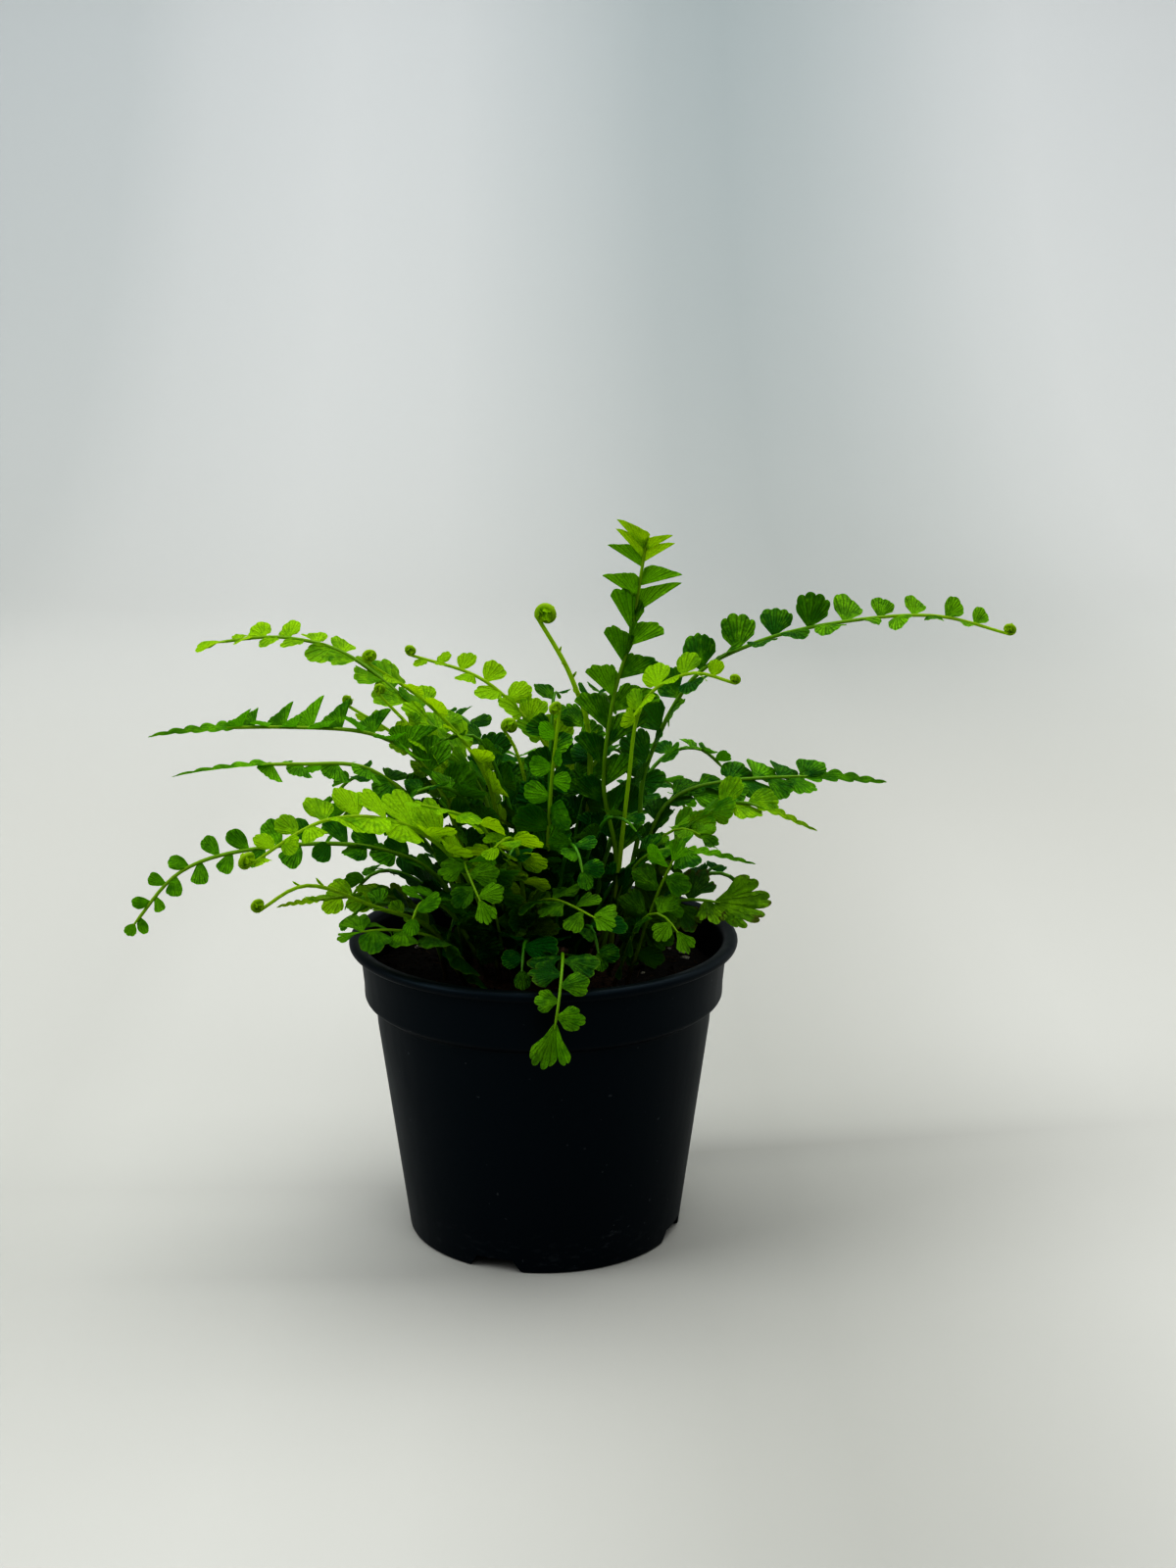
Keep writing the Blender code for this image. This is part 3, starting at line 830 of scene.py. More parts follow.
class LeafKind(Enum):
    """The leaflet forms that one fern carries, from the juvenile to the mature."""

    PINNA = "pinna"
    QUARTER = "quarter"
    ACUTE = "acute"
    SPIKE = "spike"
    FIN = "fin"
    OVAL = "oval"
    ELLIPSE = "ellipse"
    LOBED = "lobed"
    OAK = "oak"
    FAN = "fan"
    SPEAR = "spear"
    RIBBON = "ribbon"


@dataclass(frozen=True)
class LeafShape:
    """A leaflet of length 1 as a fan from its seat, with X away from the stalk and Y towards its tip.

    Angles are in degrees from X; reaches are the outline's distances from the seat at even steps
    between the first edge, nearer the stalk's root, and the second.
    """

    start: float
    stop: float
    reaches: tuple[float, ...]
    teeth: float = 0.0
    tooth: float = 0.0
    lobes: int = 0
    cleft: float = 0.0
    flare: float = 0.0
    seat: float = 0.04
    cup: float = 0.10
    droop: float = 0.10
    ripple: float = 0.09
    pucker: float = 0.012
    columns: int = 40
    rings: int = 2

    def outline(self, across: float, variant: int) -> float:
        """The reach at a share of the way across, with teeth and lobes cut in.

        Args:
            across: 0 at the first edge, 1 at the second.
            variant: which slightly different leaflet this is.

        Returns:
            The distance from the seat.
        """
        reach = interpolate(self.reaches, across) * (1.0 + 0.05 * math.sin(5.0 * across + 2.3 * variant))
        if self.teeth:
            wave = abs(math.sin(math.pi * self.teeth * across + 0.6 * variant))
            reach *= 1.0 - self.tooth * (1.0 - wave**0.55)
        if self.lobes:
            wave = abs(math.sin(math.pi * self.lobes * across))
            inside = min(across, 1.0 - across) > 0.5 / self.lobes
            reach *= 1.0 - (self.cleft if inside else 0.25 * self.cleft) * (1.0 - wave**0.5)
        return reach

    def place(self, across: float, along: float, variant: int) -> Vector:
        """Where a point of the blade lies.

        Args:
            across: 0 at the first edge, 1 at the second.
            along: 0 at the seat, 1 at the margin.
            variant: which slightly different leaflet this is.

        Returns:
            The point, for a leaflet of length 1.
        """
        spread = 1.0 - self.flare * (1.0 - along) ** 2
        middle = 0.5 * (self.start + self.stop)
        angle = math.radians(middle + (across - 0.5) * (self.stop - self.start) * spread)
        reach = self.outline(across, variant) * along
        edge = (2.0 * across - 1.0) ** 2
        rise = self.cup * edge * along - self.droop * along**2
        rise += self.ripple * along**2 * math.sin(math.tau * (1.2 * across + 0.37 * variant))
        rise += self.pucker * along * math.sin(math.tau * 6.0 * across + variant)
        seat = (across - 0.5) * 2.0 * self.seat * (1.0 - along)
        return Vector((reach * math.cos(angle), reach * math.sin(angle) + seat, rise))


@dataclass(frozen=True)
class RibbonShape:
    """The lobed strip that ends a long frond: length 1 along X, with rounded lobes down both sides."""

    width: float = 0.25
    lobes: float = 5.5
    cut: float = 0.55
    bow: float = 0.06
    columns: int = 4
    rings: int = 44

    def place(self, across: float, along: float, variant: int) -> Vector:
        """Where a point of the strip lies.

        Args:
            across: 0 at the first edge, 1 at the second.
            along: 0 at the seat, 1 at the tip.
            variant: which slightly different strip this is.

        Returns:
            The point, for a strip of length 1.
        """
        side = 2.0 * across - 1.0
        shift = 0.25 * (1.0 if side > 0 else -1.0) + 0.1 * variant
        lobe = math.sin(math.pi * ((self.lobes * along + shift) % 1.0) ** 1.5) ** 0.7
        half = 0.5 * self.width * (1.0 - along) ** 0.55 * ((1.0 - self.cut) + self.cut * lobe)
        half *= min(1.0, 0.35 + 6.0 * along)
        bend = self.bow * math.sin(math.tau * along + variant) * along
        rise = 0.25 * half * side**2 - 0.10 * along**2
        return Vector((along, half * side + bend * self.width, rise))


SHAPES: dict[LeafKind, Union[LeafShape, RibbonShape]] = {
    LeafKind.PINNA: LeafShape(
        start=-14.0, stop=84.0, reaches=(0.58, 0.92, 1.0, 0.98, 0.93, 0.86, 0.60), teeth=5.0, tooth=0.10,
        cup=0.10, droop=0.12,
    ),
    LeafKind.QUARTER: LeafShape(
        start=-16.0, stop=84.0, reaches=(0.56, 0.92, 1.0, 0.94, 0.87, 0.80, 0.58), teeth=4.0, tooth=0.05,
        cup=0.08, droop=0.10,
    ),
    LeafKind.ACUTE: LeafShape(
        start=36.0, stop=96.0, reaches=(0.98, 1.0, 0.86, 0.75, 0.67, 0.52), teeth=4.0, tooth=0.06, seat=0.03,
        cup=0.05, droop=0.10, ripple=0.06,
    ),
    LeafKind.SPIKE: LeafShape(
        start=36.0, stop=96.0, reaches=(1.0, 0.76, 0.60, 0.50, 0.43, 0.36), teeth=3.0, tooth=0.03, seat=0.03,
        cup=0.03, droop=0.05, ripple=0.02, columns=18,
    ),
    LeafKind.FIN: LeafShape(
        start=-20.0, stop=86.0, reaches=(1.0, 0.82, 0.68, 0.62, 0.62, 0.62, 0.54), teeth=5.0, tooth=0.06,
        cup=0.05, droop=0.05, ripple=0.04,
    ),
    LeafKind.OVAL: LeafShape(
        start=-46.0, stop=60.0, reaches=(0.34, 0.78, 0.95, 1.0, 0.98, 0.82, 0.40), teeth=5.0, tooth=0.07,
        seat=0.05, cup=0.10, droop=0.12,
    ),
    LeafKind.ELLIPSE: LeafShape(
        start=-30.0, stop=48.0, reaches=(0.40, 0.80, 0.97, 1.0, 0.97, 0.82, 0.42), teeth=4.0, tooth=0.03,
        seat=0.05, cup=0.08, droop=0.10, columns=20,
    ),
    LeafKind.LOBED: LeafShape(
        start=-44.0, stop=54.0, reaches=(0.56, 0.84, 0.98, 1.0, 0.88, 0.58), teeth=6.0, tooth=0.05, lobes=3,
        cleft=0.17, flare=0.45, cup=0.08, droop=0.18, ripple=0.12, columns=44,
    ),
    LeafKind.OAK: LeafShape(
        start=-50.0, stop=60.0, reaches=(0.46, 0.78, 0.88, 1.0, 0.94, 0.70), teeth=8.0, tooth=0.09, lobes=4,
        cleft=0.22, flare=0.60, cup=0.10, droop=0.14, ripple=0.16, columns=48,
    ),
    LeafKind.FAN: LeafShape(
        start=-36.0, stop=36.0, reaches=(0.74, 0.92, 1.0, 0.92, 0.97, 0.80), teeth=6.0, tooth=0.06, lobes=3,
        cleft=0.15, flare=0.60, cup=0.06, droop=0.16, ripple=0.12, columns=48,
    ),
    LeafKind.SPEAR: LeafShape(
        start=-18.0, stop=18.0, reaches=(0.34, 0.70, 1.0, 0.70, 0.34), seat=0.05, cup=0.03, droop=0.08,
        ripple=0.03, columns=8,
    ),
    LeafKind.RIBBON: RibbonShape(),
}


@dataclass
class Nursery:
    """The leaflets that are modelled once, for both sides of a stalk, and copied."""

    variants: int = 3
    masters: dict[tuple[LeafKind, int, int], bpy.types.Object] = field(default_factory=dict)

    def raise_all(self) -> None:
        """Models every leaflet form."""
        for kind, shape in SHAPES.items():
            for variant in range(self.variants):
                for hand in (1, -1):
                    self.masters[kind, variant, hand] = self._model(kind, shape, variant, hand)

    def _model(
        self, kind: LeafKind, shape: Union[LeafShape, RibbonShape], variant: int, hand: int
    ) -> bpy.types.Object:
        """Models one leaflet: a grid is drawn out into the fan, and mirrored for the other hand.

        Args:
            kind: the leaflet's form.
            shape: its outline and curves.
            variant: which slightly different leaflet this is.
            hand: 1 for the stalk's right side, -1 for its left.

        Returns:
            The hidden master.
        """
        select()
        bpy.ops.mesh.primitive_grid_add(
            x_subdivisions=shape.columns, y_subdivisions=shape.rings, size=1.0, location=(0.0, 0.0, 0.0)
        )
        leaf = bpy.context.object
        leaf.data.uv_layers[0].name = "blade"
        for vertex in leaf.data.vertices:
            vertex.co = shape.place(vertex.co.x + 0.5, vertex.co.y + 0.5, variant)
        bpy.ops.object.mode_set(mode="EDIT")
        bpy.ops.mesh.select_all(action="SELECT")
        if hand < 0:
            bpy.ops.transform.mirror(constraint_axis=(False, True, False), center_override=(0.0, 0.0, 0.0))
        bpy.ops.mesh.normals_make_consistent(inside=False)
        bpy.ops.object.mode_set(mode="OBJECT")
        if sum(face.normal.z * face.area for face in leaf.data.polygons) < 0:
            bpy.ops.object.mode_set(mode="EDIT")
            bpy.ops.mesh.flip_normals()
            bpy.ops.object.mode_set(mode="OBJECT")
        bpy.ops.object.shade_smooth()
        leaf.name = f"leaflet_{kind.value}_{variant}_{'right' if hand > 0 else 'left'}"
        leaf.hide_render = leaf.hide_viewport = True
        return leaf

    def leaflet(
        self, kind: LeafKind, variant: int, hand: int, placed: Matrix, **marks: float
    ) -> bpy.types.Object:
        """A leaflet at its place on a stalk.

        Args:
            kind: the leaflet's form.
            variant: which slightly different leaflet it is.
            hand: the side of the stalk.
            placed: where it goes, with its size.
            marks: numbers for its finish.

        Returns:
            The leaflet.
        """
        leaf = copied(self.masters[kind, variant % self.variants, hand], placed)
        mark(leaf, **marks)
        return leaf

    def clear(self) -> None:
        """Removes the masters."""
        discard(*self.masters.values())
        self.masters.clear()


# ---------------------------------------------------------------- fronds


@dataclass(frozen=True)
class Leafing:
    """How a kind of frond carries its leaflets.

    Lengths are in millimetres and angles in degrees. The low form gives way to the high one at
    change, a share of the leafy stretch; high leaflets are swung forward by lean, and the last
    ones are smaller by taper.
    """

    length: float
    spacing: float
    fold: float
    low: LeafKind
    high: LeafKind
    change: float
    tip: LeafKind
    taper: float = 0.6
    lean: float = 0.0


TALL = Leafing(12.2, 9.4, 14.0, LeafKind.ACUTE, LeafKind.SPIKE, 0.74, LeafKind.SPIKE, taper=0.08)
MATURE = Leafing(9.4, 9.4, 32.0, LeafKind.PINNA, LeafKind.QUARTER, 0.62, LeafKind.SPEAR, taper=0.62)
ROUND = Leafing(9.4, 8.4, 24.0, LeafKind.PINNA, LeafKind.OVAL, 0.5, LeafKind.OVAL)
LONG = Leafing(9.2, 8.0, 36.0, LeafKind.PINNA, LeafKind.FIN, 0.34, LeafKind.RIBBON, taper=0.5)
YOUNG = Leafing(6.8, 7.4, 30.0, LeafKind.OVAL, LeafKind.OVAL, 0.5, LeafKind.OVAL)
LOBED = Leafing(8.2, 7.6, 8.0, LeafKind.LOBED, LeafKind.LOBED, 0.5, LeafKind.FAN, taper=0.35)
BUD = Leafing(4.4, 8.0, 20.0, LeafKind.SPEAR, LeafKind.SPEAR, 0.6, LeafKind.OVAL, lean=30.0)
OAKEN = Leafing(9.6, 9.0, 8.0, LeafKind.OAK, LeafKind.OAK, 0.5, LeafKind.OAK, taper=0.3)
POINTED = Leafing(9.4, 7.4, 2.0, LeafKind.PINNA, LeafKind.OVAL, 0.35, LeafKind.RIBBON, taper=0.2, lean=36.0)
CHAIN = Leafing(
    7.8, 8.0, 12.0, LeafKind.QUARTER, LeafKind.ELLIPSE, 0.30, LeafKind.OVAL, taper=0.55, lean=20.0
)
SHINGLE = Leafing(9.8, 8.2, 26.0, LeafKind.PINNA, LeafKind.OVAL, 0.6, LeafKind.OVAL, taper=0.5, lean=12.0)
BRACTS = Leafing(4.6, 7.4, 30.0, LeafKind.OVAL, LeafKind.SPEAR, 0.35, LeafKind.SPEAR, lean=35.0)


@dataclass(frozen=True)
class Frond:
    """One frond: where it is rooted, the places its stalk goes through, its leafing and its age.

    Lengths are in millimetres and angles in degrees. The first bare millimetres carry no leaflets.
    Where it stands upright its upper face looks back from its heading, which is towards its tip
    unless given, and it is rolled about its stalk by roll, plus twist by the time it ends. crosier
    is the radius of its rolled tip, and end the length of the leaflet that ends it, when it isn't
    the usual one. fold takes the place of its leafing's, lean is added to it, and scale and girth
    are shares of the usual leaflet and stalk.
    """

    name: str
    root: tuple[float, float]
    route: tuple[Point, ...]
    leafing: Leafing
    bare: float
    youth: float
    roll: float = 0.0
    heading: float | None = None
    crosier: float = 0.0
    fold: float | None = None
    twist: float = 0.0
    scale: float = 1.0
    girth: float = 1.0
    end: float = 0.0
    lean: float = 0.0


@dataclass(frozen=True)
class Arch:
    """A frond that leaves the crown at an azimuth, climbs, and bows over in one plane.

    Lengths are in millimetres and the azimuth in degrees; height is the climb above the soil.
    """

    name: str
    azimuth: float
    root_radius: float
    height: float
    reach: float
    droop: float
    leafing: Leafing
    bare: float
    youth: float
    scale: float = 1.0

    def frond(self, soil: float) -> Frond:
        """The frond that this arch stands for.

        Args:
            soil: the height of the soil.

        Returns:
            The frond with its route worked out.
        """
        root = self.root_radius
        climb = ((0.12, 0.55), (0.45, 0.95), (0.75, 1.0))
        route = [self._place(root + far * self.reach, soil + high * self.height) for far, high in climb]
        route.append(self._place(root + self.reach, soil + self.height - self.droop))
        foot = self._place(root, 0.0)[:2]
        return Frond(self.name, foot, tuple(route), self.leafing, self.bare, self.youth, scale=self.scale)

    def _place(self, distance: float, height: float) -> Point:
        """A point in the arch's plane."""
        azimuth = math.radians(self.azimuth)
        return distance * math.cos(azimuth), distance * math.sin(azimuth), height


FRONDS = (
    Frond("frond_tall", (14, 3), ((17, 5, 86), (14, 4, 105), (16, 2, 125), (20, 0, 141), (23, -3, 161)),
          TALL, 26.0, 0.36, heading=90.0),
    Frond("frond_arching_right", (16, 8),
          ((22, 9, 90), (24, 9, 108), (34, 6, 129), (48, 4, 138), (66, 2, 143), (88, 0, 145),
           (106, -3, 141)),
          MATURE, 44.0, 0.12, roll=30.0, crosier=1.4, fold=36.0, scale=1.06, lean=-12.0),
    Frond("frond_lime_right", (15, -6), ((19, -8, 106), (22, -12, 127), (32, -16, 135), (43, -18, 133)),
          YOUNG, 61.0, 0.75, roll=24.0, crosier=1.2, scale=1.15),
    Frond("crosier_stalk", (8, 10), ((11, 10, 110), (7, 12, 128), (-2, 15, 144)),
          BUD, 44.0, 0.9, crosier=2.4, girth=1.35),
    Frond("crosier_small", (-1, 14), ((-3, 14, 96), (-6, 15, 110), (-10, 16, 117)),
          BUD, 36.0, 0.9, crosier=1.8),
    Frond("frond_top_left", (-6, 8),
          ((-11, 10, 92), (-19, 14, 109), (-42, 22, 130), (-60, 25, 136), (-81, 28, 134)),
          SHINGLE, 34.0, 0.3, roll=-10.0, fold=6.0, end=6.0),
    Frond("frond_lime_left", (-7, 1), ((-10, 0, 95), (-14, -3, 111), (-25, -7, 126), (-40, -12, 138)),
          ROUND, 32.0, 0.85, roll=-16.0, crosier=1.5),
    Frond("frond_upper_left", (3, 16), ((5, 19, 92), (2, 23, 108), (-13, 30, 124), (-33, 37, 130)),
          ROUND, 32.0, 0.8, roll=-22.0, crosier=1.4),
    Frond("frond_mid_left", (-13, 4),
          ((-19, 4, 91), (-26, 4, 108), (-38, 4, 117), (-58, 4, 119), (-86, 2, 119)),
          LONG, 26.0, 0.55, roll=-30.0, end=20.0, twist=32.0, fold=46.0, scale=1.1),
    Frond("frond_mid_left_low", (-17, -1),
          ((-22, -5, 93), (-37, -12, 112), (-54, -16, 115), (-77, -20, 115)),
          LONG, 26.0, 0.55, roll=-18.0, end=22.0, scale=0.95, twist=20.0, fold=-20.0),
    Frond("crosier_left", (-10, 12), ((-20, 16, 93), (-30, 22, 109), (-48, 32, 119)),
          YOUNG, 38.0, 0.6, roll=-20.0, crosier=1.4),
    Frond("crosier_left_inner", (-12, 8), ((-15, 8, 93), (-24, 9, 110), (-39, 9, 127)),
          YOUNG, 46.0, 0.8, roll=-20.0, crosier=1.3),
    Frond("frond_near_lime", (-10, -14), ((-16, -22, 89), (-28, -34, 105), (-45, -46, 110), (-62, -56, 102)),
          ROUND, 36.0, 1.0, roll=-24.0, crosier=1.9, scale=1.22),
    Frond("frond_far_left", (-17, -6),
          ((-23, -13, 87), (-38, -20, 97), (-60, -27, 99), (-78, -31, 95), (-90, -34, 82)),
          CHAIN, 22.0, 0.35, roll=-20.0, twist=-45.0, end=3.0),
    Frond("crosier_low_left", (-18, -14), ((-25, -20, 78), (-37, -26, 85), (-51, -33, 92), (-62, -37, 87)),
          BRACTS, 14.0, 0.6, roll=-14.0, crosier=1.5),
    Frond("frond_low_left", (-23, 2), ((-29, 2, 75), (-38, 0, 80), (-59, -6, 80)),
          POINTED, 11.0, 0.6, roll=-30.0, scale=0.75, end=10.0),
    Frond("frond_pointed_right", (14, 11), ((23, 16, 83), (30, 20, 97), (46, 25, 101), (81, 38, 99)),
          POINTED, 24.0, 0.25, roll=8.0, end=25.0, twist=32.0),
    Frond("frond_second_right", (17, 4), ((26, 4, 84), (34, 2, 96), (46, -1, 102), (59, -4, 96)),
          POINTED, 16.0, 0.12, roll=26.0, scale=0.85, end=16.0, twist=16.0),
    Frond("frond_low_right", (12, -9), ((18, -9, 84), (26, -13, 94), (44, -20, 94)),
          POINTED, 14.0, 0.25, roll=14.0, end=16.0, scale=0.85, twist=10.0),
    Frond("frond_lobed_right", (15, -10), ((22, -12, 77), (32, -15, 83), (48, -20, 82)),
          OAKEN, 9.0, 0.3, roll=48.0, end=12.5, girth=0.8),
    Frond("frond_soil_right", (16, -16), ((21, -19, 78), (26, -23, 82), (32, -28, 76)),
          LOBED, 8.0, 0.5, roll=30.0, girth=0.75),
    Frond("frond_front_bright", (-2, -12), ((-4, -18, 80), (2, -24, 86), (14, -37, 84)),
          LOBED, 12.0, 0.7, roll=24.0, girth=0.7),
    Frond("frond_over_rim", (3, -17), ((4, -30, 75), (4, -42, 77), (3, -50, 70), (1, -51, 58)),
          LOBED, 20.0, 0.3, end=10.5, girth=0.8, scale=0.94),
    Frond("frond_tip_right", (11, -1), ((21, -2, 86), (30, -6, 97), (39, -10, 95)),
          LOBED, 16.0, 0.5, roll=10.0, girth=0.8),
    Frond("frond_upright_right", (19, -14), ((25, -18, 84), (30, -24, 98)),
          LOBED, 9.0, 0.5, heading=60.0, girth=0.8),
    Frond("frond_row_left", (-7, -9), ((-10, -18, 90), (-14, -27, 104), (-28, -39, 112)),
          ROUND, 11.0, 0.9, fold=2.0, scale=1.1),
    Frond("frond_bright_mid", (-3, -8), ((-5, -20, 91), (-7, -28, 101), (-12, -37, 100)),
          ROUND, 9.0, 0.8, fold=4.0, scale=1.1),
    Frond("frond_droop_mid", (-8, -15), ((-12, -24, 88), (-17, -33, 97), (-12, -44, 88)),
          LOBED, 8.0, 0.4, scale=1.15, girth=0.7),
    Frond("frond_rim_left", (-13, -19), ((-22, -24, 76), (-33, -27, 80), (-44, -30, 80)),
          LOBED, 4.0, 0.5, scale=1.4, girth=0.8),
    Frond("frond_front_left", (-13, -12), ((-20, -23, 82), (-26, -32, 88), (-29, -40, 84)),
          ROUND, 6.0, 0.45, scale=1.25),
    Frond("frond_upright_mid", (1, -5), ((1, -8, 90), (2, -10, 110), (4, -12, 128)),
          ROUND, 16.0, 0.4, heading=70.0, crosier=1.5, twist=-30.0),
)

ARCHES = (
    Arch("frond_back_1", 38.0, 14.0, 46.0, 44.0, 8.0, ROUND, 12.0, 0.0),
    Arch("frond_back_2", 56.0, 17.0, 34.0, 50.0, 12.0, ROUND, 9.6, 0.05),
    Arch("frond_back_3", 68.0, 12.0, 58.0, 36.0, 6.0, MATURE, 15.6, -0.1),
    Arch("frond_back_4", 97.0, 17.0, 38.0, 52.0, 14.0, ROUND, 9.6, 0.05),
    Arch("frond_back_5", 119.0, 12.0, 52.0, 46.0, 8.0, MATURE, 13.2, -0.05),
    Arch("frond_back_6", 143.0, 23.0, 32.0, 44.0, 12.0, ROUND, 7.2, 0.1),
    Arch("frond_back_7", 158.0, 17.5, 42.0, 40.0, 10.0, ROUND, 10.8, 0.05),
    Arch("frond_inner_1", 50.0, 8.0, 48.0, 24.0, 4.0, ROUND, 13.2, -0.15),
    Arch("frond_inner_2", 80.0, 5.0, 62.0, 18.0, 2.0, MATURE, 15.6, -0.2),
    Arch("frond_inner_3", 205.0, 5.0, 46.0, 34.0, 8.0, ROUND, 12.0, 0.0),
    Arch("frond_inner_4", 251.0, 2.0, 34.0, 26.0, 6.0, ROUND, 9.6, -0.15),
    Arch("frond_inner_5", 285.0, 9.0, 36.0, 26.0, 6.0, ROUND, 8.4, -0.2),
    Arch("frond_inner_6", 318.0, 8.0, 40.0, 22.0, 4.0, MATURE, 9.6, -0.25),
    Arch("frond_inner_7", 185.0, 3.0, 56.0, 22.0, 2.0, MATURE, 14.4, -0.1),
    Arch("frond_low_1", 12.0, 23.0, 20.0, 28.0, 8.0, ROUND, 4.8, 0.0),
    Arch("frond_low_2", 82.0, 23.0, 18.0, 26.0, 6.0, ROUND, 4.8, -0.05),
    Arch("frond_low_3", 126.0, 23.0, 16.0, 26.0, 8.0, ROUND, 4.8, -0.05),
    Arch("frond_low_4", 172.0, 17.0, 22.0, 30.0, 8.0, ROUND, 4.8, 0.0),
    Arch("frond_low_5", 196.0, 23.5, 19.0, 24.0, 4.0, ROUND, 3.6, 0.0, 1.15),
    Arch("frond_low_6", 222.0, 14.0, 20.0, 15.0, 6.0, MATURE, 4.8, -0.1, 1.3),
    Arch("frond_low_7", 262.0, 16.0, 15.0, 20.0, 7.0, ROUND, 3.6, -0.2, 1.15),
    Arch("frond_low_8", 291.0, 17.0, 18.0, 18.0, 7.0, ROUND, 3.6, -0.2, 1.15),
    Arch("frond_low_9", 345.0, 10.0, 28.0, 24.0, 6.0, MATURE, 6.0, -0.2),
)


class Route:
    """A smooth line through points, measured by the distance along it."""

    STEPS = 14

    def __init__(self, points: Sequence[Point]) -> None:
        """Draws the line.

        Args:
            points: the places it goes through, in millimetres.
        """
        places = [Vector(point) for point in points]
        ends = [places[0] * 2 - places[1], *places, places[-1] * 2 - places[-2]]
        self.line = [places[0]]
        for a, b, c, d in zip(ends, ends[1:], ends[2:], ends[3:]):
            self.line += [through(a, b, c, d, step / self.STEPS) for step in range(1, self.STEPS + 1)]
        self.marks = [0.0]
        for start, end in zip(self.line, self.line[1:]):
            self.marks.append(self.marks[-1] + (end - start).length)
        self.length = self.marks[-1]

    def at(self, distance: float) -> tuple[Vector, Vector]:
        """The place and the direction at a distance along the line.

        Args:
            distance: how far from the root.

        Returns:
            The place and the direction there.
        """
        distance = held(distance, 0.0, self.length)
        span = 0
        while span < len(self.line) - 2 and self.marks[span + 1] < distance:
            span += 1
        start, end = self.line[span], self.line[span + 1]
        part = (distance - self.marks[span]) / (self.marks[span + 1] - self.marks[span])
        return start.lerp(end, part), (end - start).normalized()


@dataclass(frozen=True)
class Section:
    """The stalk's frame at one place: along it, to its right, and out of its upper face."""

    place: Vector
    along: Vector
    side: Vector
    normal: Vector

    def leaf_matrix(self, hand: int, fold: float, yaw: float, twist: float, size: float) -> Matrix:
        """Where a leaflet goes.

        Args:
            hand: the side of the stalk.
            fold: how far it rises from the stalk's own plane, in degrees.
            yaw: how far it swings towards the frond's tip, in degrees.
            twist: how far it turns about its own length, in degrees.
            size: its length in millimetres.

        Returns:
            The leaflet's place in metres.
        """
        rise, swing = math.radians(fold), math.radians(yaw)
        out = self.side * hand * math.cos(rise) + self.normal * math.sin(rise)
        ahead = self.along * math.cos(swing) - out * math.sin(swing)
        out = out * math.cos(swing) + self.along * math.sin(swing)
        y_axis = ahead * hand
        z_axis = out.cross(y_axis)
        turned_frame = Matrix((out, y_axis, z_axis)).transposed()
        turned_frame = turned_frame @ Matrix.Rotation(math.radians(twist), 3, "X")
        return Matrix.Translation(self.place * MM) @ turned_frame.to_4x4() @ Matrix.Scale(size * MM, 4)


@dataclass(frozen=True)
class StalkAge:
    """How lime a stalk is: a share of its frond's youth all along, and what its tip adds."""

    share: float
    tip: float


UNROLLING = StalkAge(1.1, 0.9)
UNROLLED = StalkAge(0.7, 0.25)

# How far back from the tip, on which side and how long, for the last leaflets of the tall frond.
SPIKES = ((3.2, 1, 8.2), (2.4, -1, 9.4), (0.8, 1, 7.2), (0.4, -1, 9.6))


